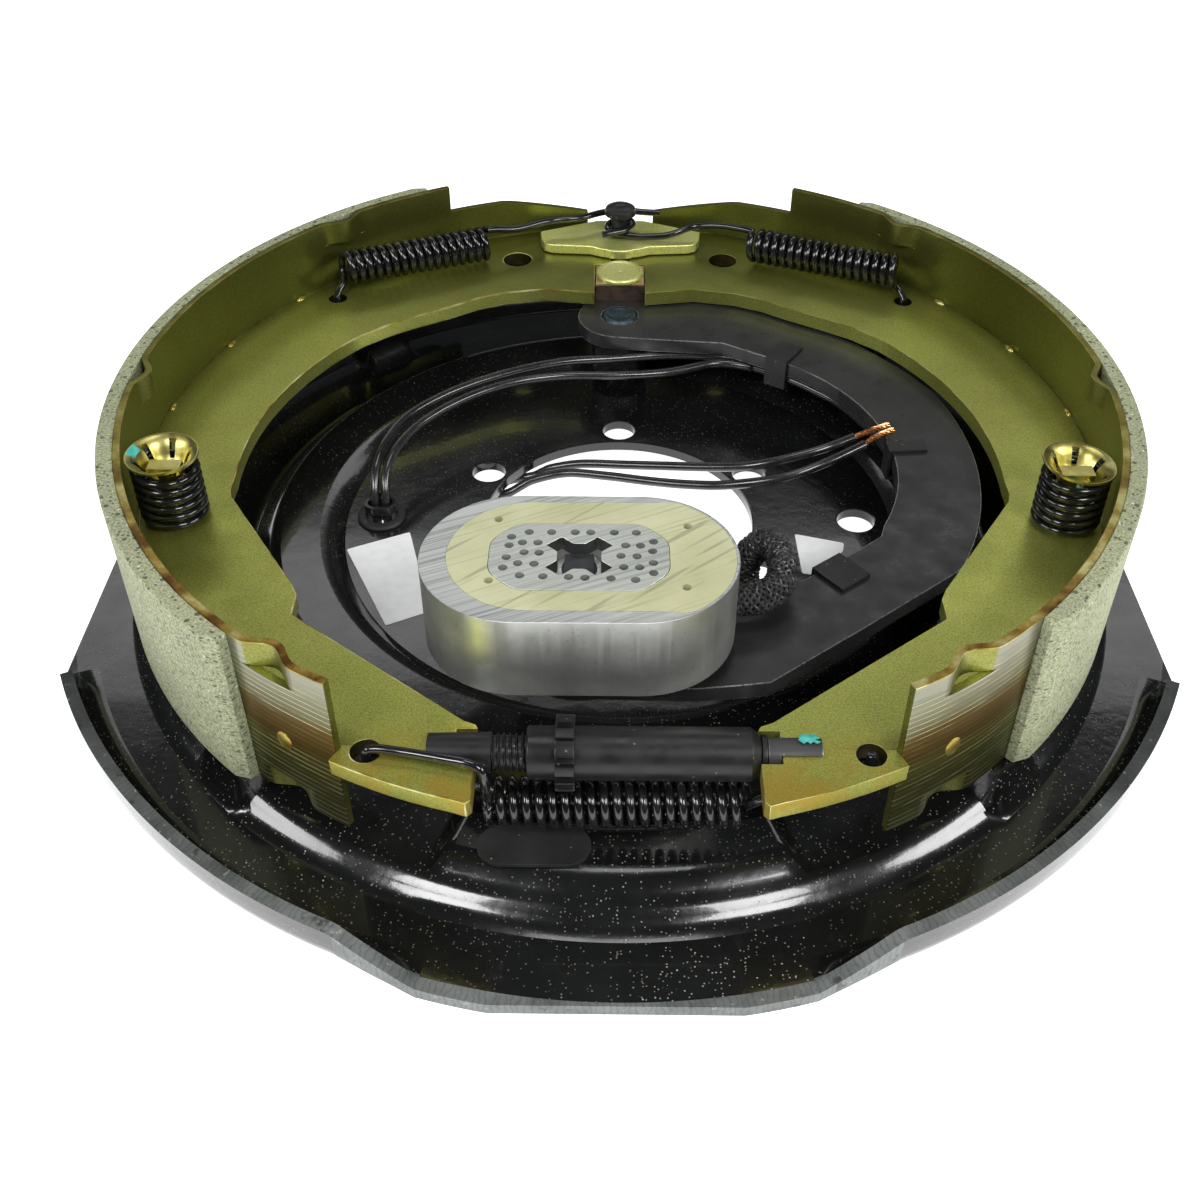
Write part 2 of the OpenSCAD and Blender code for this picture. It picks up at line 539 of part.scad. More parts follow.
// Braided sleeve over the leads where they leave the magnet
magnet_end = magnet_l / 2 - magnet_x;
braid_route = [[magnet_end + 0.5, -75.5, 35.4], [magnet_end + 6, -75, 35], [43, -71.5, 35.6], [46, -64.5, 37],
  [45, -56.5, 37.5], [40.5, -51.5, 36], [36, -51, 32], [33.8, -53, 27], [34.4, -55, 22.4], [38.6, -55.2, 19.6],
  arm_start - [0.3, 0, 0]];
module braided_sleeve() color([0.06, 0.06, 0.06]) sweep(smooth(braid_route, 2), braid_d / 2, 10);

// Shoes. They are drawn as the primary shoe at +X and mirrored for the secondary.
anchor_seat_r = anchor_r + gap / 3;
web_end_x = block_w / 2 + gap;
spring_eye = [60.6, -adjuster_y - 2.2];
spring_eye_r = 3.7;
spring_hook = [101.5, 88.5];
module web_outline() {
  low_y = -adjuster_y;
  out_y = -circle_x(web_tip_r, fork_mouth);
  difference() {
    polygon(concat(
      [[web_end_x, block_y + block_l / 2 + 3], [web_end_x, 93.5], [26.8, 96.2], [41.8, 93.3], [51, 89.2],
       [61, 82.4], [72, 75.9], [80.6, 70.2]],
      arc([2.7, -10], web_inner_r, 40, -5, 16),
      [[115.3, -26], [114.4, -29.6], [89, -69.5], [87.2, -73.5], [87.2, -81.3]],
      [[fork_mouth + 4, low_y + fork_half + 3], [fork_mouth + 0.8, low_y + fork_half + 1.6],
       [fork_mouth, low_y + fork_half], [fork_seat, low_y + fork_half], [fork_seat, low_y - fork_half],
       [fork_mouth, low_y - fork_half], [fork_mouth, out_y + 1.2], [fork_mouth + 1.2, out_y]],
      arc([0, 0], web_tip_r, -75, -rim_end_a, 6),
      arc([0, 0], rim_in, -rim_end_a, 90 - asin(tongue_end / rim_in), 48),
      [[3.5, anchor_y + 9], [3.5, block_y + block_l / 2 + 3]]));
    translate([0, anchor_y]) circle(r = anchor_seat_r);
    translate([38.5, 118.6]) circle(r = 5.2);
    translate([hold_x, -hold_y]) circle(r = 5.5);
    translate(spring_hook) circle(r = 3.2);
    translate(spring_eye) circle(r = spring_eye_r);
  }
}
module shoe_web() color([0.42, 0.42, 0.16]) translate([0, 0, web_low]) linear_extrude(web_t)
  web_outline();

bump_angles = [46.5, 1, -55.3];
bump_r = 5.4;
bump_h = 7;
// Narrow tongue of the rim beside the anchor, in short flats
module rim_tongue() intersection() {
  tip_in = 90 - asin(tongue_end / rim_in);
  tip_out = 90 - asin(tongue_end / rim_out);
  translate([0, 0, rim_low]) linear_extrude(shoe_w)
    polygon(concat(arc([0, 0], rim_in, rim_top_a, tip_in, 12), arc([0, 0], rim_out, tip_out, rim_top_a, 12)));
  translate([0, rim_out, web_mid]) rotate([90, 0, 0]) linear_extrude(60) polygon([
    [80, -tongue_w / 2], [44, -tongue_w / 2], [10, 7 - tongue_w / 2],
    [10, tongue_w / 2 - 7], [44, tongue_w / 2], [80, tongue_w / 2]]);
}
module shoe_rim() color([0.42, 0.42, 0.16]) {
  rotate([0, 0, -rim_end_a]) rotate_extrude(angle = rim_end_a + rim_top_a, $fn = 240)
    translate([rim_in, rim_low]) square([rim_t, shoe_w]);
  rim_tongue();
  for (a = bump_angles, z = [rim_low + gap, rim_high - bump_h - gap]) rotate([0, 0, a])
    translate([rim_in, 0, z]) linear_extrude(bump_h) polygon([[rim_t / 2, -bump_r], [-1, -bump_r],
      [-2.8, -bump_r * 0.6], [-3.4, 0], [-2.8, bump_r * 0.6], [-1, bump_r], [rim_t / 2, bump_r]]);
}
module shoe_lining(low_a, top_a) color([0.55, 0.58, 0.48])
  rotate([0, 0, -low_a]) rotate_extrude(angle = low_a + top_a, $fn = 240)
    polygon([[rim_out, rim_low + 0.3], [lining_r - 0.6, rim_low + 0.3], [lining_r, rim_low + 0.9],
      [lining_r, rim_high - 0.9], [lining_r - 0.6, rim_high - 0.3], [rim_out, rim_high - 0.3]]);
module primary_web() shoe_web();
module primary_rim() shoe_rim();
module primary_lining() shoe_lining(primary_low_a, primary_top_a);
module secondary_web() mirror([1, 0, 0]) shoe_web();
module secondary_rim() mirror([1, 0, 0]) shoe_rim();
module secondary_lining() mirror([1, 0, 0]) shoe_lining(secondary_low_a, secondary_top_a);

// Hold-down springs and dished cups
cup_t = 0.9;
cup_floor = hold_head_z - cup_t - 0.1;
module hold_cup() color([0.75, 0.62, 0.25]) translate([hold_x, -hold_y, 0]) difference() {
  bowl = hold_coil_d / 2 - hold_wire - 0.4;
  rim_z = web_high + cup_top;
  rotate_extrude() polygon([[0, cup_floor], [bowl - 1.6, cup_floor], [bowl, rim_z - 1.4], [cup_r, rim_z],
    [cup_r, rim_z + cup_t], [bowl - 0.6, rim_z - 1.4 + cup_t], [bowl - 2.2, cup_floor + cup_t],
    [0, cup_floor + cup_t]]);
  translate([0, 0, cup_floor - 1]) cylinder(h = 3, r = hold_pin_r + gap);
  for (a = [45:90:315]) rotate([0, 0, a]) translate([bowl - 1.2, -1.1, cup_floor + 2.4]) cube([3.4, 2.2, 8]);
}
module hold_spring() color([0.05, 0.05, 0.05])
  sweep(coil([hold_x, -hold_y, web_high + gap + hold_wire / 2],
    [hold_x, -hold_y, web_high + cup_top - 1.7 - hold_wire / 2],
    (hold_coil_d - hold_wire) / 2, hold_turns, 0), hold_wire / 2, 6);
module primary_hold_cup() hold_cup();
module primary_hold_spring() hold_spring();
module secondary_hold_cup() mirror([1, 0, 0]) hold_cup();
module secondary_hold_spring() mirror([1, 0, 0]) hold_spring();

// Adjuster: forked screw, sleeve with star wheel, thrust washer and socket, on one axis along X
module on_adjuster(x) translate([x, -adjuster_y, web_mid]) rotate([0, 90, 0]) children();
sleeve_end = sleeve_l - sleeve_start;
star_x = -sleeve_start + 7;
washer_t = 1.2;
washer_r = fork_r - 0.1;
sleeve_taper = 2.2;
screw_tip = -6;
screw_head = -sleeve_start - 8.3;
fork_tip = -46;
socket_end = 49;
module adjuster_screw() color([0.12, 0.12, 0.12]) difference() {
  union() {
    on_adjuster(fork_tip) cylinder(h = screw_head - fork_tip, r1 = fork_r - 0.4, r2 = fork_r);
    on_adjuster(screw_head) cylinder(h = screw_tip - screw_head, r = screw_r);
  }
  fork_slot(fork_tip - eps, -fork_seat + gap - fork_tip);
}
module fork_slot(x, l) translate([x, -adjuster_y - 10, web_low - gap]) cube([l, 20, web_t + 2 * gap]);
module adjuster_sleeve() color([0.14, 0.14, 0.14]) difference() {
  union() {
    on_adjuster(-sleeve_start) cylinder(h = sleeve_l - sleeve_taper, r = sleeve_r);
    on_adjuster(sleeve_end - sleeve_taper) cylinder(h = sleeve_taper, r1 = sleeve_r, r2 = washer_r);
    on_adjuster(star_x) difference() {
      cylinder(h = star_w, r = star_r);
      for (i = [0:star_teeth - 1]) rotate([0, 0, i * 360 / star_teeth])
        translate([sleeve_r + 0.4, -1.1, -1]) cube([6, 2.2, star_w + 2]);
    }
  }
  on_adjuster(-sleeve_start - eps) cylinder(h = 32, r = screw_r + sleeve_clear);
  on_adjuster(sleeve_end - 14) cylinder(h = 14 + eps, r = stem_r + sleeve_clear);
}
stem_r = 3.1;
module thrust_washer() color([0.5, 0.5, 0.5]) on_adjuster(sleeve_end + gap) difference() {
  cylinder(h = washer_t, r = washer_r);
  translate([0, 0, -eps]) cylinder(h = washer_t + 2 * eps, r = stem_r + sleeve_clear);
}
socket_start = sleeve_end + 2 * gap + washer_t;
module adjuster_socket() color([0.2, 0.2, 0.2]) difference() {
  union() {
    on_adjuster(sleeve_end - 12) cylinder(h = socket_start - sleeve_end + 12, r = stem_r);
    on_adjuster(socket_start) cylinder(h = socket_end - socket_start, r = socket_r);
  }
  fork_slot(fork_seat - gap, 20);
}

// Retracting springs from the webs to the anchor post
return_r = (return_coil_d - return_wire) / 2;
return_from = [99, 93.5, 43.2];
return_to = [49, 117, 41.5];
wire_z = guide_high + return_wire / 2 + 0.3;
neck_wrap = anchor_neck_r + return_wire / 2 + 0.15;
module primary_return_spring() color([0.05, 0.05, 0.05])
  sweep(concat([[spring_hook[0], spring_hook[1], web_low - 1.5], [spring_hook[0], spring_hook[1], web_high + 1],
      [101, 90.5, web_high + 2.4]],
    coil(return_from, return_to, return_r, return_turns + 0.5, 90),
    smooth([[46, 118.8, 46.6], [38, 124, 45.4], [28, 128.5, wire_z + 3.4], [18, 126.5, wire_z + 0.8],
      [8, anchor_y - neck_wrap - 1.6, wire_z]], 3),
    [for (a = [270:-20:-30]) [neck_wrap * cos(a), anchor_y + neck_wrap * sin(a),
      wire_z + (270 - a) / 300 * (return_wire + 0.2)]],
    [[1, anchor_y - 6.6, wire_z + return_wire], [-6.5, anchor_y - 9.5, wire_z + return_wire]]),
    return_wire / 2, 6);
module secondary_return_spring() color([0.05, 0.05, 0.05])
  sweep(concat([[-spring_hook[0], spring_hook[1], web_low - 1.5], [-spring_hook[0], spring_hook[1], web_high + 1],
      [-101, 90.5, web_high + 2.4]],
    coil([-return_from[0], return_from[1], return_from[2]], [-return_to[0], return_to[1], return_to[2]],
      return_r, return_turns + 0.5, 90),
    smooth([[-46, 118.6, 46.2], [-38, 122.5, 44.6], [-27, 130.5, 43.8], [-16, 133, 43.8], [-8, 137.4, wire_z + 4.4]], 3),
    smooth([[0, anchor_y + neck_wrap + 1.6, wire_z + 5], [8, 138.5, wire_z + 4.4], [15, 138.5, wire_z + 4]], 3)),
    return_wire / 2, 6);

// Spring below the adjuster that draws the webs together against the star wheel
adjust_r = (adjust_coil_d - adjust_wire) / 2;
adjust_axis_y = -adjuster_y - 2;
adjust_axis_z = web_mid - star_r - adjust_coil_d / 2 - gap;
adjust_half = 32;
module adjuster_spring() color([0.06, 0.06, 0.06])
  sweep(concat(
    smooth([[-60, -131, web_low - 1], [-60.4, -131, web_high], [-58, -131, web_high + 1.6],
      [-52, -131.8, web_high + 1.6], [-46, -133, web_high + 1.6], [-40, -134.4, web_high + 1.7],
      [-36, -135.4, web_high + 1.8], [-33, -136.3, web_high + 1], [-31.8, -137, web_high - 1.4],
      [-31.6, -137, web_mid - 4]], 3),
    coil([-adjust_half, adjust_axis_y, adjust_axis_z], [adjust_half, adjust_axis_y, adjust_axis_z], adjust_r,
      adjust_turns, -45),
    smooth([[34, -135.2, web_low - 6], [38, -136, web_low - 3.4], [46, -134.5, web_low - 2],
      [56, -132, web_low - 1.6], [60, -131, web_low], [60.4, -131, web_high + 1]], 3)),
    adjust_wire / 2, 6);

// Free ends of the leads, out of the grommet, behind the plate and up through the spindle hole
free_a = [[-75.3, 0, -1], [-75.1, 0.6, -3.6], [-73, 3, -6], [-66, 9, -7], [-56, 17, -6.8], [-47, 24.5, -5.4],
  [-38, 29.6, -3.4], [-29.5, 30.3, -1.8], [-26, 29.8, 0.4], [-22.4, 28.7, 2.8], [-12.5, 25.3, 7], [2.7, 17.9, 12],
  [15.7, 11.9, 16], [29.2, 6, 20], [40.6, 1.8, 23.5], [51, 1, 26.5], [63.8, 2.8, 29.5], [74, 7.2, 31]];
free_b = [[-78.7, 0, -1], [-78.5, -0.6, -3.6], [-76, -2.5, -6], [-68, 0, -7], [-58, 6.5, -6.8], [-50, 14, -5.2],
  [-44, 19, -3.4], [-37, 20.6, -1.7], [-33, 21.5, 0.4], [-28.4, 22, 2.8], [-17.4, 20.7, 6.5], [-3.9, 13.7, 10.5],
  [9.1, 5.7, 14.5], [21.7, -0.8, 18], [34, -5.6, 21.5], [50.3, -7.9, 26], [63.1, -4.5, 29], [76.8, 3.2, 31]];
bare_a = [[74.3, 7.4, 31], [80, 11.4, 30.8], [86, 14.8, 30.6]];
bare_b = [[77.1, 3.4, 31], [81.5, 8.2, 30.8], [87, 12, 30.6]];
module free_lead_a() color([0.05, 0.05, 0.05]) sweep(smooth(free_a, 2), lead_d / 2, 8);
module free_lead_b() color([0.05, 0.05, 0.05]) sweep(smooth(free_b, 2), lead_d / 2, 8);
module bare_end_a() color([0.75, 0.42, 0.22]) sweep(smooth(bare_a, 3), lead_d * 0.36, 8);
module bare_end_b() color([0.75, 0.42, 0.22]) sweep(smooth(bare_b, 3), lead_d * 0.36, 8);

backing_plate();
anchor_post();
anchor_guide_plate();
lever_pivot_pin();
hold_down_pins();
adjuster_slot_plug();
lead_grommet();
cable_tie();
label_left();
label_right();
lever_arm();
lead_clip_upper();
lead_clip_middle();
lead_clip_lower();
magnet_post();
arm_leads();
span_leads();
actuating_block();
block_stud();
magnet_case();
magnet_core();
magnet_potting();
magnet_coil();
magnet_retainer();
magnet_spring();
braided_sleeve();
primary_web();
primary_rim();
primary_lining();
secondary_web();
secondary_rim();
secondary_lining();
primary_hold_cup();
primary_hold_spring();
secondary_hold_cup();
secondary_hold_spring();
adjuster_screw();
adjuster_sleeve();
thrust_washer();
adjuster_socket();
primary_return_spring();
secondary_return_spring();
adjuster_spring();
free_lead_a();
free_lead_b();
bare_end_a();
bare_end_b();
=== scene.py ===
"""Looks of the electric trailer drum brake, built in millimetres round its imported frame."""
from math import asin, atan2, ceil, cos, degrees, hypot, pi, radians, sin, tan

import bmesh
import bpy
from mathutils import Matrix, Vector


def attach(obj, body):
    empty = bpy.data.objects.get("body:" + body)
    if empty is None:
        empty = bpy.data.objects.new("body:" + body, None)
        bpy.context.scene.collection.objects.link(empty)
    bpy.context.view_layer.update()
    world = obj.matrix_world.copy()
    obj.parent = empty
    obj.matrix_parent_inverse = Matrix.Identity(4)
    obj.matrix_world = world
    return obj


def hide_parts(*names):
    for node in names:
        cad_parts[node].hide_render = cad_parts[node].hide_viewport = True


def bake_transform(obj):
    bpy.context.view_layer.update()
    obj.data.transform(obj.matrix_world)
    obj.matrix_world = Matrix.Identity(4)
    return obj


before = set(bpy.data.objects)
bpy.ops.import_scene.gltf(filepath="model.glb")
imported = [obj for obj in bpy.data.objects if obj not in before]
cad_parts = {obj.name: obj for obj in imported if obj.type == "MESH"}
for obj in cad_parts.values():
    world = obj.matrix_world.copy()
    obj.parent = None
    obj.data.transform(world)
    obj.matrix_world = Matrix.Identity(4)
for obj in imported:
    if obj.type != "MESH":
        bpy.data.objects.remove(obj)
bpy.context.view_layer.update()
MM = 0.001

# Sizes from the part's source
SHIELD_R, PLATE_T, SHIELD_FLOOR, SIDE_CUT, BOTTOM_CUT = 175.7, 3.5, -7.0, 163.5, 173.0
HUB_R, BOLT_R, BOLT_HOLE_R, LEAD_HOLE_X, LEAD_HOLE_R, CENTRE_R = 43.3, 50.8, 5.6, 77.0, 6.0, 88
LINING_R, RIM_OUT, RIM_IN, RIM_HIGH = 152.0, 147.2, 145.0, 56.9
WEB_MID, WEB_LOW, WEB_HIGH = 31.5, 29.0, 34.0
ANCHOR_Y, PIVOT_Y, BLOCK_Y, ADJUSTER_Y = 133.0, 87.4, 105.0, -128.0
LEVER_LOW, LEVER_HIGH, PIN_SHOULDER, GUIDE_LOW, GUIDE_HIGH = 23.2, 28.2, 22.9, 34.3, 37.9
MAGNET_X, MAGNET_Y, MAGNET_LOW, MAGNET_HIGH, MAGNET_L, MAGNET_W = -10.2, -83.5, 31.5, 56.5, 82, 50.5
CUP_R, CUP_HIGH, HOLD_WIRE, HOLD_COIL = 10.2, 21.5, 2.2, 19.5
HOLD_R = RIM_IN - CUP_R - 0.8
HOLD_X, HOLD_Y = HOLD_R * cos(radians(17)), HOLD_R * sin(radians(17))
LEAD_D, STRAND_D, RETURN_WIRE, ADJUST_WIRE = 3.0, 0.6, 2.5, 2.4
POST_EYE, RETURN_EYE, ADJUSTER_EYE = (38.5, 118.6, 5.2), (101.5, 88.5, 3.2), (60.6, -130.2, 3.7)
FLOOR_HALF, FLOOR_Z = 4.0, -0.0108
WIRE_Z = GUIDE_HIGH + RETURN_WIRE / 2 + 0.3
TABS = (46.5, 1.0, -55.3)
TAB_HALF = 3.5


# Curves
def smooth_path(points, n):
    """Points of a smooth curve through given ones, n steps to each stretch."""
    p = [Vector(q) for q in points]
    out = []
    for i in range(len(p) - 1):
        a = p[i - 1] if i else 2 * p[0] - p[1]
        b, c = p[i], p[i + 1]
        d = p[i + 2] if i < len(p) - 2 else 2 * p[i + 1] - p[i]
        for k in range(n + (1 if i == len(p) - 2 else 0)):
            t = k / n
            out.append(0.5 * (2 * b + (c - a) * t + (2 * a - 5 * b + 4 * c - d) * t * t
                              + (3 * b - a - 3 * c + d) * t * t * t))
    return out


def side_of(x):
    z = Vector((0, 0, 1)) if abs(x.z) < 0.9 else Vector((1, 0, 0))
    return x.cross(z).normalized()


def around(t, n, a):
    """The direction at an angle round the tangent t, counted from the normal n."""
    return cos(a) * n + sin(a) * t.cross(n)


def coil(p0, p1, r, turns, a0, steps=24):
    p0, p1 = Vector(p0), Vector(p1)
    x = (p1 - p0).normalized()
    s = side_of(x)
    return [p0 + (p1 - p0) * (i / (turns * steps)) + r * around(x, s, radians(a0 + 360 * i / steps))
            for i in range(int(turns * steps) + 1)]


def frames(p):
    """Tangent and untwisted normal at each point."""
    tangents = [(p[min(i + 1, len(p) - 1)] - p[max(i - 1, 0)]).normalized() for i in range(len(p))]
    n = side_of(tangents[0])
    out = []
    for t in tangents:
        n = (n - n.dot(t) * t).normalized()
        out.append((t, n.copy()))
    return out


def polar(r, a):
    """A point from its radius and its angle in degrees."""
    return r * cos(radians(a)), r * sin(radians(a))


def arc2(c, r, a0, a1, n):
    turns = [polar(r, a0 + (a1 - a0) * i / n) for i in range(n + 1)]
    return [(c[0] + x, c[1] + y) for x, y in turns]


def racetrack(l, w, n=24, cx=0.0, cy=0.0):
    d = l / 2 - w / 2
    return arc2((cx + d, cy), w / 2, -90, 90, n) + arc2((cx - d, cy), w / 2, 90, 270, n)


def circle2(r, n, cx=0.0, cy=0.0):
    return [(cx + r * cos(2 * pi * i / n), cy + r * sin(2 * pi * i / n)) for i in range(n)]


def corner(a, b, c, radius, n):
    """Points of a rounded corner at b, cut back up to radius along both sides."""
    a, b, c = Vector(a), Vector(b), Vector(c)
    back = min(radius, (b - a).length * 0.45, (c - b).length * 0.45)
    s, e = b + (a - b).normalized() * back, b + (c - b).normalized() * back
    shares = [k / n for k in range(n + 1)]
    return [tuple(s * (1 - t) ** 2 + b * 2 * t * (1 - t) + e * t * t) for t in shares]


def rounded_loop(points, radius, n=5):
    following = points[1:] + points[:1]
    return [q for a, b, c in zip(points[-1:] + points, points, following) for q in corner(a, b, c, radius, n)]


def rounded_profile(points, radius, n):
    """A polyline with its inner corners rounded."""
    p = [Vector(q) for q in points]
    inner = [q for a, b, c in zip(p, p[1:], p[2:]) for q in corner(a, b, c, radius, n)]
    return [tuple(p[0])] + inner + [tuple(p[-1])]


def smoothstep(a, b, x):
    t = min(1.0, max(0.0, (x - a) / (b - a)))
    return t * t * (3 - 2 * t)


# Meshes
def add_object(name, data):
    obj = bpy.data.objects.new(name, data)
    bpy.context.scene.collection.objects.link(obj)
    return obj


def finish_mesh(bm, node, keys, body, sharp=38, weighted=True, flat=False):
    """Turns a bmesh into the piece that replaces a node. It rides on body, or is left unattached without one.
    The material keys fill its material slots in order. flat keeps level faces evenly lit."""
    bmesh.ops.scale(bm, vec=(MM, MM, MM), verts=bm.verts)
    bm.normal_update()
    for f in bm.faces:
        f.smooth = True
    for e in bm.edges:
        e.smooth = len(e.link_faces) == 2 and e.calc_face_angle(0.0) < radians(sharp)
        if flat and sum(abs(f.normal.z) > 0.99999 for f in e.link_faces) == 1:
            e.smooth = False
    mesh = bpy.data.meshes.new(node + "_piece")
    bm.to_mesh(mesh)
    bm.free()
    for key in keys.split():
        mesh.materials.append(M[key])
    obj = add_object(node + "_piece", mesh)
    if weighted:
        obj.modifiers.new("weighted", "WEIGHTED_NORMAL").keep_sharp = True
    if body:
        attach(obj, body)
    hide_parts(node)
    return obj


def outward(bm):
    bmesh.ops.recalc_face_normals(bm, faces=bm.faces)


def edges_over(bm, angle):
    return [e for e in bm.edges if len(e.link_faces) == 2 and e.calc_face_angle(0.0) > angle]


def bevel(bm, width, segments=2, angle=32, edges=None, material=-1):
    picked = edges_over(bm, radians(angle)) if edges is None else edges
    bmesh.ops.bevel(bm, geom=picked, offset=width, segments=segments, profile=0.6, affect="EDGES",
                    clamp_overlap=True, material=material)


def cad_copy(node):
    """The CAD node's own solid as a bmesh in millimetres, with its flat faces whole."""
    bm = bmesh.new()
    bm.from_mesh(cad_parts[node].data)
    bmesh.ops.scale(bm, vec=(1 / MM,) * 3, verts=bm.verts)
    bmesh.ops.remove_doubles(bm, verts=bm.verts, dist=0.002)
    bmesh.ops.dissolve_limit(bm, angle_limit=radians(0.8), verts=bm.verts, edges=bm.edges)
    outward(bm)
    return bm


def refined(node, keys, body, width, segments=2, angle=32, extra=None, edge=-1):
    """A copy of a CAD node with its edges rounded. edge is the material slot of the rounded edges."""
    bm = cad_copy(node)
    bevel(bm, width, segments, angle, material=edge)
    if extra:
        extra(bm)
    finish_mesh(bm, node, keys, body)


def pairs(vs):
    return [(vs[i], vs[(i + 1) % len(vs)]) for i in range(len(vs))]


def fill_loops(bm, loops, z, up=True):
    """Flat face between an outer loop and holes, as triangles. Returns the loops' vertices."""
    made, edges = [], []
    for loop in loops:
        made.append([bm.verts.new((x, y, z)) for x, y in loop])
        edges += [bm.edges.new(pair) for pair in pairs(made[-1])]
    got = bmesh.ops.triangle_fill(bm, edges=edges, use_beauty=True)
    for f in [g for g in got["geom"] if isinstance(g, bmesh.types.BMFace)]:
        f.normal_update()
        if (f.normal.z > 0) != up:
            f.normal_flip()
    return made


def bridge(bm, low, high, ahead=True):
    """Wall between two loops with the same number of points."""
    for (a, b), (c, d) in zip(pairs(low), pairs(high)):
        bm.faces.new([a, b, d, c] if ahead else [c, d, b, a])


def prism(bm, loops, z0, z1):
    """Solid between two heights; the first loop runs anticlockwise and the rest are holes."""
    top = fill_loops(bm, loops, z1, True)
    low = fill_loops(bm, loops, z0, False)
    for i, (a, b) in enumerate(zip(low, top)):
        bridge(bm, a, b, ahead=(i == 0))
    outward(bm)


def copy_into(bm, part):
    """Adds all of part's faces to bm and frees part."""
    made = {v: bm.verts.new(v.co) for v in part.verts}
    for f in part.faces:
        bm.faces.new([made[v] for v in f.verts]).material_index = f.material_index
    part.free()


def add_prism(bm, loops, z0, z1, *rounding):
    part = bmesh.new()
    prism(part, loops, z0, z1)
    if rounding:
        bevel(part, *rounding)
    copy_into(bm, part)


def tube(bm, points, radius, sides):
    """Adds a tube along points to bm, with rounded ends."""
    p = [Vector(q) for q in points]
    fr = frames(p)

    def ring(centre, t, n, r):
        return [bm.verts.new(centre + r * around(t, n, 2 * pi * k / sides)) for k in range(sides)]

    rings = [ring(c, t, n, radius) for c, (t, n) in zip(p, fr)]
    for end, sign in ((0, -1), (-1, 1)):
        t, n = fr[end]
        last = rings[end]
        for step in (35, 65):
            c, s = polar(1, step)
            centre = p[end] - sign * t * radius * 0.35 + sign * t * radius * 0.35 * s
            smaller = ring(centre, t, n, radius * (0.45 + 0.55 * c))
            bridge(bm, last, smaller, ahead=(sign > 0))
            last = smaller
        bm.faces.new(last if sign > 0 else last[::-1])
    for a, b in zip(rings, rings[1:]):
        bridge(bm, a, b)


def tubes(node, lines, wire, sides, key, body, sharp=38):
    """A piece of one or more tubes of the same thickness."""
    bm = bmesh.new()
    for line in lines:
        tube(bm, line, wire / 2, sides)
    return finish_mesh(bm, node, key, body, sharp, weighted=False)


def revolve(bm, profile, steps, centre=(0, 0)):
    """Solid of revolution from (radius, height) points. Points at radius 0 close the ends."""
    rings = []
    for r, h in profile:
        flat = [Vector(q) for q in circle2(r, steps if r else 1)]
        rings.append([bm.verts.new((centre[0] + v.x, centre[1] + v.y, h)) for v in flat])
    for a, b in zip(rings, rings[1:]):
        for i in range(steps):
            j = (i + 1) % steps
            if len(a) == 1:
                bm.faces.new([a[0], b[j], b[i]])
            elif len(b) == 1:
                bm.faces.new([a[i], a[j], b[0]])
            else:
                bm.faces.new([a[i], a[j], b[j], b[i]])
    outward(bm)


def turned(node, profile, keys, body, centre, steps=64):
    bm = bmesh.new()
    revolve(bm, profile, steps, centre)
    finish_mesh(bm, node, keys, body, sharp=35)


def add_blob(bm, sign, r, a, z, size, segments):
    """Adds a flattened ball in material 1, turned to face the axis, at a radius, angle and height."""
    x, y = polar(r, a)
    part = bmesh.new()
    bmesh.ops.create_uvsphere(part, u_segments=segments[0], v_segments=segments[1], radius=1.0)
    turn = Matrix.Rotation(atan2(sin(radians(a)), sign * cos(radians(a))), 4, "Z")
    place = Matrix.Translation((sign * x, y, z)) @ turn @ Matrix.Diagonal((*size, 1))
    bmesh.ops.transform(part, matrix=place, verts=part.verts)
    for f in part.faces:
        f.material_index = 1
    copy_into(bm, part)


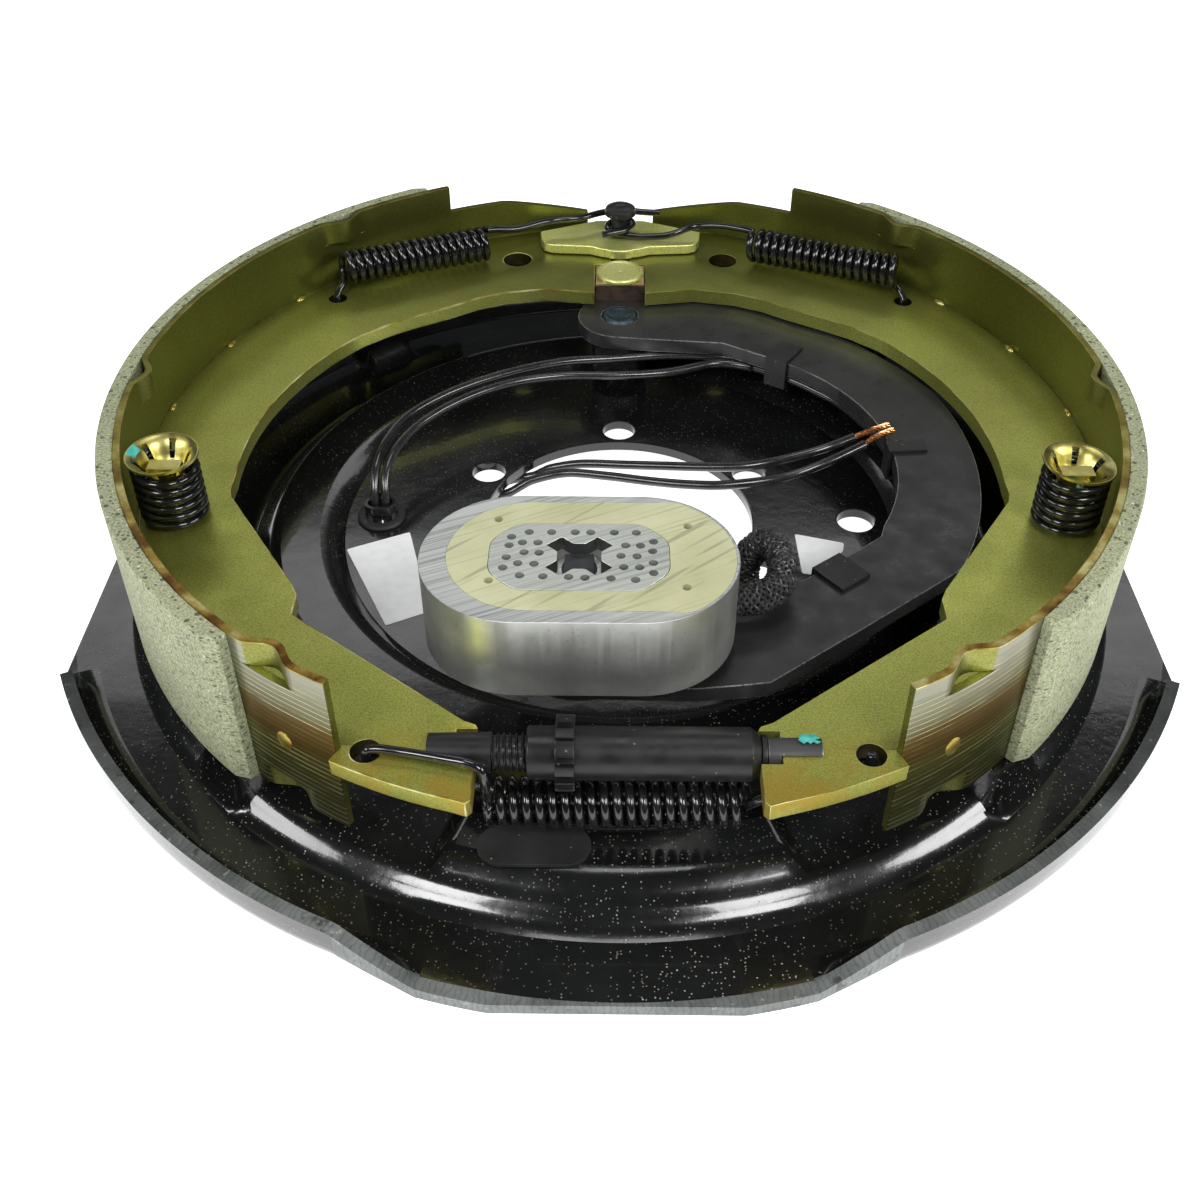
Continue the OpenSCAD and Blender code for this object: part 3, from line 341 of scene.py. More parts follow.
# Materials
class Nodes:
    """A short way to write a material's nodes. A ramp or a bump takes a noise as its scale or (scale, detail)."""

    def __init__(self, name, metal=0.0, **sockets):
        self.m = bpy.data.materials.new(name)
        self.m.use_nodes = True
        self.t = self.m.node_tree
        self.b = self.t.nodes["Principled BSDF"]
        self.b.inputs["Metallic"].default_value = metal
        for k, v in sockets.items():
            self.b.inputs[k.replace("_", " ")].default_value = v
        self.coord = self.t.nodes.new("ShaderNodeTexCoord").outputs["Object"]

    def put(self, value, socket):
        if isinstance(value, bpy.types.NodeSocket):
            self.t.links.new(value, socket)
        elif isinstance(value, tuple) and socket.type == "RGBA":
            socket.default_value = (*value, 1)
        else:
            socket.default_value = value

    def node(self, kind, inputs, **settings):
        n = self.t.nodes.new("ShaderNode" + kind)
        for k, v in settings.items():
            setattr(n, k, v)
        for k, v in inputs.items():
            self.put(v, n.inputs[k])
        return n.outputs

    def mapped(self, scale=(1, 1, 1), rotate=(0, 0, 0), source=None):
        return self.node("Mapping", {"Vector": source or self.coord, "Scale": scale, "Rotation": rotate})[0]

    def noise(self, scale, detail=3.0, rough=0.55, vector=None, distort=0.0):
        return self.node("TexNoise", {"Vector": vector or self.coord, "Scale": scale, "Detail": detail,
                                      "Roughness": rough, "Distortion": distort})[0]

    def field(self, value):
        if isinstance(value, bpy.types.NodeSocket):
            return value
        return self.noise(*value) if isinstance(value, tuple) else self.noise(value)

    def math(self, operation, a, b=0.0):
        return self.node("Math", {0: a, 1: b}, operation=operation)[0]

    def ramp(self, value, *stops):
        n = self.t.nodes.new("ShaderNodeValToRGB")
        e = n.color_ramp.elements
        while len(e) < len(stops):
            e.new(0.5)
        for el, (pos, col) in zip(e, stops):
            el.position = pos
            el.color = (*col, 1) if isinstance(col, tuple) else (col, col, col, 1)
        self.put(self.field(value), n.inputs[0])
        return n.outputs[0]

    def mix(self, f, a, b, kind="MIX"):
        return self.node("Mix", {0: f, 6: a, 7: b}, data_type="RGBA", blend_type=kind)[2]

    def xyz(self, source=None):
        return self.node("SeparateXYZ", {0: source or self.coord})

    def radius(self):
        x, y, _ = self.xyz()
        return self.math("SQRT", self.add(self.mul(x, x), self.mul(y, y)))

    def bump(self, height, strength, distance, **normal):
        return self.node("Bump", {"Strength": strength, "Distance": distance, "Height": self.field(height),
                                  **normal})[0]

    def specks(self, scale, size, share, vector=None):
        """A mask of small spots: cells of a Voronoi pattern, a share of which hold a spot of a given size."""
        near, pick = self.node("TexVoronoi", {"Vector": vector or self.coord, "Scale": scale})[:2]
        return self.mul(self.under(near, size), self.under(self.xyz(pick)[0], share))

    def slanted(self, angle, scale, detail=3.0):
        """Noise stretched into lines at an angle in the XY plane."""
        turned_to = self.mapped(rotate=(0, 0, radians(angle)))
        return self.noise(1.0, detail, vector=self.mapped(scale, source=turned_to))

    def done(self, color, rough, normal):
        self.put(color, self.b.inputs["Base Color"])
        self.put(rough, self.b.inputs["Roughness"])
        self.put(normal, self.b.inputs["Normal"])
        return self.m


for short, operation in (("mul", "MULTIPLY"), ("add", "ADD"), ("sub", "SUBTRACT"), ("most", "MAXIMUM"),
                         ("over", "GREATER_THAN"), ("under", "LESS_THAN")):
    setattr(Nodes, short, lambda self, a, b, operation=operation: self.math(operation, a, b))


def plain(name, tint, stops, rough, relief, metal=0.0, dust=None, **sockets):
    """A material of a few noises: tint coloured by stops, rough as a number or a noise with its stops, and
    relief as noise, strength and distance. dust is a speck's scale, size, share, strength and colour."""
    n = Nodes(name, metal, **sockets)
    color = n.ramp(tint, *stops)
    if dust:
        color = n.mix(n.mul(n.specks(*dust[:3]), dust[3]), color, dust[4])
    return n.done(color, n.ramp(*rough) if isinstance(rough, tuple) else rough, n.bump(*relief))


def scaled(k, color):
    return tuple(k * c for c in color)


def gloss_black():
    """Gloss paint with fine pale dust, most of it towards the front."""
    n = Nodes("gloss_black_paint", Coat_Weight=0.4, Coat_Roughness=0.05)
    tone = n.ramp(35, (0.3, (0.0035, 0.0037, 0.0038)), (0.75, (0.009, 0.0095, 0.0095)))
    small = n.mul(n.most(n.specks(1000, 0.22, 0.35), n.specks(680, 0.16, 0.3)), 0.5)
    front = n.ramp(n.mul(n.xyz()[1], -5.0), (0.2, 0.3), (0.6, 1.0))
    where = n.mul(n.ramp(12, (0.38, 0.25), (0.6, 1.0)), front)
    dust = n.mul(n.most(n.specks(480, 0.11, 0.2), small), where)
    color = n.mix(dust, tone, n.ramp(300, (0.4, (0.36, 0.3, 0.19)), (0.6, (0.6, 0.58, 0.46))))
    rough = n.add(n.mul(dust, 0.5), n.ramp(60, (0.3, 0.12), (0.8, 0.24)))
    return n.done(color, rough, n.bump(90, 0.08, 0.001, Normal=n.bump((420, 2.0), 0.08, 0.0004)))


def sheared_edge():
    """The lip's cut edge: worn paint over bare sheet, lighter towards the front, with painted glints."""
    n = Nodes("sheared_edge", 0.35)
    x, y, _ = n.xyz()
    wear = n.noise(55, 5.0, 0.65)
    paint = n.ramp(wear, (0.35, (0.02, 0.022, 0.021)), (0.65, (0.07, 0.076, 0.074)))
    bare = n.ramp(wear, (0.3, (0.07, 0.078, 0.076)), (0.6, (0.2, 0.215, 0.21)))
    color = n.mix(n.ramp(n.mul(y, -5.0), (0.45, 0.0), (0.82, 1.0)), paint, bare)
    nicks = n.mul(n.ramp(130, (0.64, 0.0), (0.68, 1.0)), 0.6)
    color = n.mix(nicks, color, (0.012, 0.013, 0.013))
    stroke = n.math("SINE", n.add(n.mul(n.math("ARCTAN2", y, x), 700), n.mul(n.noise(300, 2.0), 14)))
    color = n.mix(n.ramp(stroke, (0.45, 0.0), (0.95, 0.35)), color, (0.035, 0.038, 0.037))
    # painted highlight: small pale spots standing in for glints of light on the bare sheet
    painted_glints = n.mul(n.ramp((420, 2.0), (0.66, 0.0), (0.72, 1.0)), 0.5)
    color = n.mix(painted_glints, color, (0.42, 0.44, 0.42))
    return n.done(color, n.ramp(wear, (0.3, 0.3), (0.7, 0.5)), n.bump(wear, 0.25, 0.0006))


def olive(n, low=(0.15, 0.158, 0.03), high=(0.235, 0.243, 0.06)):
    """Yellow zinc: an even olive with a fine grain and a slight warm cast in places."""
    fine = n.noise(2300, 2.0)
    grain = n.ramp(fine, (0.3, (0.55, 0.55, 0.5)), (0.7, (1.5, 1.5, 1.45)))
    base = n.mix(0.7, n.ramp(11, (0.3, low), (0.72, high)), grain, "MULTIPLY")
    base = n.mix(n.mul(n.ramp(20, (0.58, 0.0), (0.8, 1.0)), 0.25), base, (0.17, 0.11, 0.01))
    return n.mix(n.mul(n.specks(520, 0.12, 0.12), 0.5), base, (0.4, 0.4, 0.22)), fine


def olive_zinc(name, bright=1.0):
    n = Nodes(name, 0.75)
    color, fine = olive(n, scaled(bright, (0.31, 0.33, 0.068)), scaled(bright, (0.43, 0.455, 0.112)))
    return n, color, fine


def web_zinc():
    """Olive zinc of the webs, with the dark joint to the rim, painted shade beside the rim and towards the back, and
    golden brown lower tips.
    """
    n, color, fine = olive_zinc("olive_zinc")
    y = n.xyz()[1]
    out = n.sub(n.radius(), (RIM_IN - 0.55) * MM)
    beside = n.over(y, -0.1285)
    line = n.mul(n.ramp(n.mul(out, 1000), (0.0, 0.0), (0.25, 1.0)), beside)
    # painted shade: a broad darkening of the web beside the rim, where the rim's wall shades it
    shade = n.mul(n.ramp(n.add(n.mul(out, 110), 1.0), (0.35, 0.0), (1.0, 0.5)), beside)
    low = n.ramp(n.mul(y, -1.0), (0.118, 0.0), (0.142, 0.6))
    tips = n.mul(low, n.ramp((70, 4.0), (0.42, 0.0), (0.6, 1.0)))
    color = n.mix(tips, color, (0.4, 0.22, 0.018))
    # painted shade: the web darkens towards the back, standing in for how light falls on its satin zinc
    back = n.ramp(n.mul(y, 5.0), (0.3, 0.0), (0.62, 0.86))
    color = n.mix(back, color, (0.06, 0.063, 0.01))
    color = n.mix(n.most(line, shade), color, (0.012, 0.012, 0.004))
    return n.done(color, n.ramp(70, (0.3, 0.3), (0.7, 0.44)), n.bump(fine, 0.1, 0.0001))


def guide_zinc():
    n, color, fine = olive_zinc("guide_zinc", 2.1)
    color = n.mix(n.ramp(70, (0.3, 0.2), (0.7, 0.5)), color, (0.62, 0.6, 0.4))
    return n.done(color, n.ramp(70, (0.3, 0.28), (0.7, 0.42)), n.bump(fine, 0.1, 0.0001))


def rim_zinc():
    """Olive zinc with ground lines and a brown band on the bare ends, brown edges, and painted shade darkening it
    towards the back.
    """
    n = Nodes("rim_zinc", 0.8)
    color, fine = olive(n)
    _, y, z = n.xyz()
    ends = n.mul(n.over(n.radius(), (RIM_OUT - 0.35) * MM), n.under(y, -0.09))
    wave = n.math("SINE", n.add(n.mul(z, 2 * pi / 0.0018), n.mul(n.noise(18, 2.0), 14.0)))
    high_share = n.mul(z, 10)
    where = n.ramp(high_share, (0.26, 0.9), (0.3, 0.15), (0.36, 0.15), (0.4, 1.0), (0.5, 0.7), (0.54, 0.0))
    broken = n.ramp(n.noise(1.0, 2.0, vector=n.mapped((70, 70, 700))), (0.4, 0.15), (0.55, 1.0))
    lines = n.mul(n.ramp(wave, (0.84, 0.0), (0.97, 1.0)), n.mul(broken, where))
    fine_lines = n.noise(1.0, 2.0, vector=n.mapped((25, 25, 2200)))
    height_share = n.add(high_share, n.mul(n.sub(n.noise(28), 0.5), 0.14))
    ground = n.ramp(height_share, (0.2, (0.08, 0.084, 0.022)), (0.27, (0.1, 0.092, 0.014)),
                    (0.31, (0.09, 0.05, 0.002)), (0.385, (0.12, 0.068, 0.003)), (0.42, (0.17, 0.165, 0.085)),
                    (0.54, (0.27, 0.27, 0.2)))
    ground = n.mix(n.ramp(fine_lines, (0.35, 0.3), (0.5, 0.0)), ground, (0.05, 0.042, 0.008))
    ground = n.mix(n.mul(lines, 0.8), ground, (0.7, 0.66, 0.36))
    # painted shade: the rim darkens towards the back, standing in for how light falls on it
    back = n.ramp(n.mul(y, 5.0), (0.2, 0.0), (0.6, 0.45))
    color = n.mix(ends, n.mix(back, color, (0.07, 0.075, 0.014)), ground)
    top = n.mul(n.over(z, (RIM_HIGH - 0.4) * MM), n.ramp(n.mul(y, -10.0), (0.0, 0.25), (0.9, 1.0)))
    color = n.mix(top, color, n.ramp((110, 4.0), (0.38, (0.12, 0.045, 0.004)), (0.52, (0.36, 0.25, 0.05)),
                                     (0.66, (0.62, 0.56, 0.24))))
    height = n.add(n.mul(fine, 0.2), n.mul(n.add(lines, fine_lines), ends))
    return n.done(color, 0.33, n.bump(height, 0.15, 0.0002))


def lining():
    n = Nodes("friction_lining")
    base = n.ramp((22, 4.0), (0.3, (0.195, 0.218, 0.105)), (0.72, (0.35, 0.38, 0.2)))
    color = n.mix(0.42, base, n.ramp((1500, 2.0), (0.35, (0.1, 0.11, 0.07)), (0.65, (0.6, 0.62, 0.46))))
    stretched = n.mapped((1, 1, 2.4))
    dark = n.most(n.specks(430, 0.3, 0.4, stretched), n.specks(800, 0.3, 0.35, stretched))
    color = n.mix(n.mul(dark, 0.8), color, (0.045, 0.045, 0.035))
    color = n.mix(n.mul(n.specks(520, 0.2, 0.15), 0.6), color, (0.75, 0.75, 0.66))
    return n.done(color, 0.8, n.bump(n.sub(n.noise(1300, 2.0), n.mul(dark, 1.2)), 0.5, 0.0004))


def black_oxide(name, tone=1.0, rough=0.42, dusty=True):
    return plain(name, (45, 4.0), ((0.3, scaled(tone, (0.014, 0.0145, 0.014))),
                                   (0.75, scaled(tone, (0.026, 0.027, 0.026)))),
                 (150, (0.3, rough - 0.1), (0.7, rough + 0.12)), ((1000, 2.0), 0.15, 0.0002), 0.35,
                 (560, 0.16, 0.16, 0.7, (0.2, 0.18, 0.14)) if dusty else None)


def machined(name, tone=(0.74, 0.76, 0.73), dark=(0.4, 0.41, 0.4), angle=-24.0, rough=0.32):
    """Flat ground steel with slanting tool lines."""
    n = Nodes(name, 1.0)
    lines = n.slanted(angle, (14, 1300, 40))
    color = n.ramp(lines, (0.3, dark), (0.48, tone), (0.8, tuple(min(1, c * 1.2) for c in tone)))
    return n.done(color, n.ramp(lines, (0.3, rough + 0.12), (0.7, rough)), n.bump(lines, 0.08, 0.0003))


def magnet_side():
    """Turned steel side of the magnet: soft streaks, grey smears and a darker lower half."""
    n = Nodes("magnet_side", 0.78)
    streak = n.noise(1.0, 2.0, vector=n.mapped((700, 700, 8)))
    cloud = n.noise(55, 5.0, 0.6)
    color = n.ramp(cloud, (0.3, (0.42, 0.43, 0.4)), (0.6, (0.62, 0.63, 0.59)), (0.8, (0.8, 0.8, 0.75)))
    # darker and rougher towards the bottom, with a noisy edge
    low_band = n.ramp(n.add(n.mul(n.xyz()[2], 16), n.mul(n.noise(70, 4.0), 0.35)), (0.62, 1.0), (0.95, 0.0))
    color = n.mix(n.mul(low_band, 0.6), color, (0.14, 0.15, 0.14))
    color = n.mix(n.mul(n.specks(700, 0.2, 0.3), 0.3), color, (0.12, 0.12, 0.11))
    rough = n.add(n.ramp(streak, (0.3, 0.28), (0.7, 0.4)), n.mul(low_band, 0.12))
    return n.done(color, rough, n.bump(n.add(n.mul(streak, 0.06), cloud), 0.06, 0.0006))


def resin():
    """Cast resin with fine tool lines, a few deeper ones and a little rust."""
    n = Nodes("cast_resin")
    base = n.ramp((45, 4.0), (0.3, (0.44, 0.44, 0.25)), (0.7, (0.58, 0.585, 0.37)))
    lines = n.slanted(-26, (14, 1000, 30))
    color = n.mix(n.ramp(lines, (0.3, 0.45), (0.46, 0.0)), base, (0.24, 0.235, 0.12))
    deeper = n.ramp(n.slanted(-40, (25, 420, 30), 1.0), (0.64, 0.0), (0.7, 0.5))
    color = n.mix(deeper, color, (0.18, 0.18, 0.11))
    color = n.mix(n.ramp(38, (0.68, 0.0), (0.75, 0.4)), color, (0.5, 0.25, 0.1))
    return n.done(color, n.ramp(lines, (0.3, 0.6), (0.7, 0.42)), n.bump(lines, 0.12, 0.0003))


def block_zinc():
    """Copper-coloured block, dark on the lower part of its front."""
    n = Nodes("block_zinc", 0.85)
    tint = n.noise(130, 4.0)
    color = n.ramp(tint, (0.3, (0.38, 0.24, 0.13)), (0.5, (0.62, 0.45, 0.26)), (0.7, (0.52, 0.46, 0.31)))
    _, y, z = n.xyz()
    lowered = n.mul(n.under(y, (BLOCK_Y - 6.6) * MM), n.under(z, (LEVER_HIGH + 6.2) * MM))
    dark = n.ramp(tint, (0.35, (0.05, 0.035, 0.04)), (0.7, (0.16, 0.11, 0.09)))
    color = n.mix(n.mul(lowered, 0.85), color, dark)
    return n.done(color, n.ramp(200, (0.3, 0.25), (0.7, 0.5)), n.bump(tint, 0.1, 0.0003))


def greasy_pin():
    """Bluish grease on the pin's head, black below the lever."""
    n = Nodes("greasy_pin", 0.5)
    swirl = n.noise(330, 4.0, distort=1.5)
    color = n.ramp(swirl, (0.3, (0.012, 0.015, 0.02)), (0.52, (0.03, 0.06, 0.075)),
                   (0.62, (0.012, 0.018, 0.02)), (0.8, (0.09, 0.13, 0.13)))
    color = n.mix(n.under(n.xyz()[2], PIN_SHOULDER * MM), color, (0.008, 0.008, 0.009))
    return n.done(color, n.ramp(swirl, (0.3, 0.2), (0.7, 0.5)), n.bump(swirl, 0.5, 0.0008))


def braid_black(name, low, high, rough):
    return plain(name, (260, 2.0), ((0.35, low), (0.7, high)), rough, ((2200, 2.0), 0.12, 0.0001))


DUST = (0.6, (0.25, 0.23, 0.18))
M = {
    "plate": gloss_black(),
    "edge": sheared_edge(),
    "web": web_zinc(),
    "zinc_edge": plain("zinc_edge", (90, 4.0), ((0.35, (0.25, 0.14, 0.014)), (0.48, (0.42, 0.36, 0.08)),
                                                (0.66, (0.75, 0.72, 0.36))), 0.3, (400, 0.2, 0.0003), 0.85),
    "guide": guide_zinc(),
    "hole": plain("hole_shadow", 300, ((0.3, (0.012, 0.01, 0.002)), (0.7, (0.05, 0.036, 0.006))), 0.5,
                  (500, 0.2, 0.0002), 0.5),
    "rim": rim_zinc(),
    "lining": lining(),
    "oxide": black_oxide("black_oxide"),
    "lever": black_oxide("lever_black", 1.5, 0.34, dusty=False),
    "adjuster": black_oxide("adjuster_black", 0.75, 0.38),
    "cast": black_oxide("cast_grey", 2.6, 0.5),
    "worn": machined("worn_edge", (0.3, 0.31, 0.3), (0.06, 0.06, 0.06), 40, 0.35),
    "spring": plain("spring_black", 120, ((0.35, (0.005, 0.005, 0.006)), (0.75, (0.022, 0.022, 0.024))),
                    (260, (0.3, 0.12), (0.75, 0.26)), ((700, 2.0), 0.08, 0.0002), 0.3,
                    (600, 0.14, 0.1, *DUST), Coat_Weight=0.6, Coat_Roughness=0.06),
    "machined": machined("machined_steel"),
    "core": machined("core_face", (0.78, 0.81, 0.75), (0.5, 0.53, 0.48), rough=0.42),
    "dimple": machined("dimple_steel", (0.2, 0.21, 0.2), (0.13, 0.135, 0.13), rough=0.7),
    "magnet_side": magnet_side(),
    "resin": resin(),
    "gold": plain("gold_zinc", 90, ((0.3, (0.38, 0.32, 0.06)), (0.55, (0.58, 0.52, 0.18)),
                                    (0.8, (0.5, 0.53, 0.27))), (300, (0.3, 0.26), (0.7, 0.42)),
                  (500, 0.06, 0.0003), 1.0),
    "block": block_zinc(),
    "grease": greasy_pin(),
    "wire": plain("wire_insulation", 160, ((0.35, 0.007), (0.75, 0.024)), (240, (0.3, 0.18), (0.7, 0.32)),
                  (500, 0.05, 0.0002), Coat_Weight=0.5, Coat_Roughness=0.12),
    "braid": braid_black("braid_yarn", 0.016, 0.05, 0.32),
    # near-black matte core of the braid: painted shade showing in the gaps between its strands
    "braid_gap": braid_black("braid_gap", 0.002, 0.004, 0.7),
    "copper": plain("copper_wire", 420, ((0.3, (0.42, 0.16, 0.06)), (0.6, (0.85, 0.42, 0.2)),
                                         (0.8, (0.9, 0.6, 0.4))), (600, (0.3, 0.2), (0.7, 0.4)),
                    (900, 0.1, 0.0002), 1.0),
    "rubber": plain("black_rubber", 80, ((0.35, 0.008), (0.7, 0.024)), 0.55, (700, 0.12, 0.0002),
                    dust=(600, 0.15, 0.12, *DUST)),
    "paper": plain("label_paper", (300, 4.0), ((0.3, (0.9, 0.92, 0.91)), (0.7, 1.0)), 0.55,
                   (160, 0.15, 0.0003)),
    "teal": plain("teal_mark", 500, ((0.3, (0.03, 0.33, 0.28)), (0.7, (0.1, 0.55, 0.47))), 0.5,
                  (700, 0.3, 0.0003)),
    "post": plain("dark_post", (220, 4.0), ((0.3, (0.02, 0.022, 0.024)), (0.7, (0.07, 0.072, 0.075))), 0.5,
                  (700, 0.3, 0.0003), 0.5),
}


# Camera, lights and floor
def add_camera():
    data = bpy.data.cameras.new("photo_view")
    data.sensor_width, data.lens = 36.0, 41.25
    data.shift_x, data.shift_y = -0.0019, -0.0067
    data.clip_start, data.clip_end = 0.01, 10.0
    cam = add_object("photo_view", data)
    cam.location = (-0.0012, -0.3532, 0.27905)
    cam.rotation_euler = (radians(90 - 41.02), 0, radians(0.663))
    bpy.context.scene.camera = cam


def add_studio():
    scene = bpy.context.scene
    world = bpy.data.worlds.new("studio")
    world.use_nodes = True
    back = world.node_tree.nodes["Background"]
    back.inputs[0].default_value = (0.9, 0.96, 1.0, 1)
    back.inputs[1].default_value = 0.06
    scene.world = world
    for name, at, size, size_y, power in (("front_left_box", (-0.456, -0.59, 0.69), 0.26, None, 3.6),
                                          ("front_right_box", (0.36, -0.6, 0.69), 0.26, None, 3.6),
                                          ("right_box", (0.76, -0.26, 0.42), 0.45, 0.17, 3.4),
                                          ("left_box", (-0.76, -0.23, 0.42), 0.45, 0.17, 2.4),
                                          ("back_strip", (0.0, 0.72, 0.69), 1.4, 0.16, 1.25),
                                          ("top_box", (0.0, 0.05, 0.95), 0.3, None, 1.3)):
        data = bpy.data.lights.new(name, "AREA")
        data.energy, data.size = power, size
        if size_y:
            data.shape, data.size_y = "RECTANGLE", size_y
        lamp = add_object(name, data)
        lamp.location = at
        lamp.rotation_euler = (-Vector(at)).to_track_quat("-Z", "Y").to_euler()
    mesh = bpy.data.meshes.new("studio_floor")
    s, z = FLOOR_HALF, FLOOR_Z
    mesh.from_pydata([(-s, -s, z), (s, -s, z), (s, s, z), (-s, s, z)], [], [(0, 1, 2, 3)])
    white = bpy.data.materials.new("studio_white")
    white.use_nodes = True
    sockets = white.node_tree.nodes["Principled BSDF"].inputs
    sockets["Base Color"].default_value = (0.8, 0.8, 0.8, 1)
    sockets["Roughness"].default_value = 0.9
    sockets["Emission Color"].default_value = (1, 1, 1, 1)
    sockets["Emission Strength"].default_value = 1.0
    mesh.materials.append(white)
    add_object("studio_floor", mesh)
    scene.view_settings.view_transform = "Standard"
    scene.view_settings.exposure = 0.0


add_camera()
add_studio()

# Free leads, the cords
FREE_A = [(-75.3, 0, -1), (-75.1, 0.6, -3.6), (-73, 3, -6), (-66, 9, -7), (-56, 17, -6.8), (-47, 24.5, -5.4),
          (-38, 29.6, -3.4), (-29.5, 30.3, -1.8), (-26, 29.8, 0.4), (-22.4, 28.7, 2.8), (-12.5, 25.3, 7),
          (2.7, 17.9, 12), (15.7, 11.9, 16), (29.2, 6, 20), (40.6, 1.8, 23.5), (51, 1, 26.5),
          (63.8, 2.8, 29.5), (74, 7.2, 31)]
FREE_B = [(-78.7, 0, -1), (-78.5, -0.6, -3.6), (-76, -2.5, -6), (-68, 0, -7), (-58, 6.5, -6.8),
          (-50, 14, -5.2), (-44, 19, -3.4), (-37, 20.6, -1.7), (-33, 21.5, 0.4), (-28.4, 22, 2.8), (-17.4, 20.7, 6.5),
          (-3.9, 13.7, 10.5), (9.1, 5.7, 14.5), (21.7, -0.8, 18), (34, -5.6, 21.5), (50.3, -7.9, 26),
          (63.1, -4.5, 29), (76.8, 3.2, 31)]


def free_lead(node, points, bare_node, bare_points):
    """A free lead as one curve, with its bare end as twisted strands."""
    pts = smooth_path(points, 6)
    curve = bpy.data.curves.new(node + "_cord", "CURVE")
    curve.dimensions = "3D"
    curve.bevel_depth = LEAD_D / 2 * MM
    curve.bevel_resolution = 5
    curve.use_fill_caps = True
    spline = curve.splines.new("POLY")
    spline.points.add(len(pts) - 1)
    for p, q in zip(spline.points, pts):
        p.co = (q.x * MM, q.y * MM, q.z * MM, 1)
    spline.use_smooth = True
    curve.materials.append(M["wire"])
    lead = add_object(node + "_cord", curve)
    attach(lead, "backing")
    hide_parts(node)
    bare = twisted_end(bare_node, smooth_path(bare_points, 10))


def twisted_end(node, pts):
    """Six strands that open slightly round a straight one."""
    lines = []
    for radius, count in ((0.0, 1), (0.62, 6)):
        for k in range(count):
            line = []
            for i, (p, (t, nrm)) in enumerate(zip(pts, frames(pts))):
                share = i / (len(pts) - 1)
                spread = radius * (1 + 0.35 * share * share)
                line.append(p + spread * around(t, nrm, 2 * pi * (k / count + share * 1.3)))
            lines.append(line)
    return tubes(node, lines, STRAND_D, 8, "copper", "backing")


free_lead("free_lead_a", FREE_A, "bare_end_a", [(74, 7.2, 31), (80, 11.4, 30.8), (86, 14.8, 30.6)])
free_lead("free_lead_b", FREE_B, "bare_end_b", [(76.8, 3.2, 31), (81.5, 8.2, 30.8), (87, 12, 30.6)])

# Backing plate
PADS = [50, 2, -45, 130, 178, 225]
STEP_R, STEP_RUN = 147.0, 6.0
SHIELD_UNDER = SHIELD_FLOOR - PLATE_T
TOP_PROFILE = [(CENTRE_R, 3.5), (93, 7.5), (110, 7.5), (119, -2), (147, -2), (153, -7), (168.2, -7),
               (172.2, -2.5), (172.2, 4.7)]
LOW_PROFILE = [(175.7, 4.7), (175.7, -4.5), (169.7, -10.5), (151.7, -10.5), (145.7, -5.5), (117, -5.5),
               (108, 4.0), (94.5, 4.0), (89.5, 0), (CENTRE_R, 0)]


def raised(r, a):
    """Height that the pads and the front bridge add at a radius and an angle in degrees."""
    if r <= 120:
        return 0.0
    add = 0.0
    base = -2.0 - 5.0 * min(1.0, max(0.0, (r - STEP_R) / STEP_RUN))
    for pad in PADS:
        off = abs((a - pad + 180) % 360 - 180) * pi / 180 * r
        if off < 14 and 128 < r < 158:
            across = smoothstep(132, 140.5, r) * (1 - smoothstep(148.6, 155.0, r))
            add = max(add, (1 - smoothstep(7.6, 11.0, off)) * across * (5.8 - base))
    along = ((a - 270 + 180) % 360 - 180) * pi / 180 * 137
    ends = 1 - smoothstep(42.5, 47.5, abs(along))
    if ends > 0:
        front = 1.5 - 8.5 * smoothstep(138.0, 155.5, r)
        top = front * smoothstep(121.5, 127.0, r) - 2.0 * (1 - smoothstep(121.5, 127.0, r))
        add = max(add, ends * max(0.0, top - base))
    return add


def edge_radius(a):
    """Where the plate ends, at an angle in degrees: the round edge or one of its straight cuts."""
    c, s = polar(1, a)
    out = SHIELD_R
    if abs(c) > 0.5:
        out = min(out, SIDE_CUT / abs(c))
    if s < -0.5:
        out = min(out, -BOTTOM_CUT / s)
    return out


def lip_share(a):
    """How much of the lip's height is left at an angle: it runs out in a slope beside each straight cut."""
    x, y = polar(edge_radius(a), a)
    if y < -150:
        return min(1.0, max(0.0, (abs(x) - 48.5) / 20.0))
    if abs(x) > 150:
        return min(1.0, max(0.0, (abs(y) - 64.0) / 11.0))
    return 1.0


def densify(points, step):
    out = [points[0]]
    for a, b in zip(points, points[1:]):
        n = max(1, int(ceil(hypot(b[0] - a[0], b[1] - a[1]) / step)))
        out += [(a[0] + (b[0] - a[0]) * i / n, a[1] + (b[1] - a[1]) * i / n) for i in range(1, n + 1)]
    return out


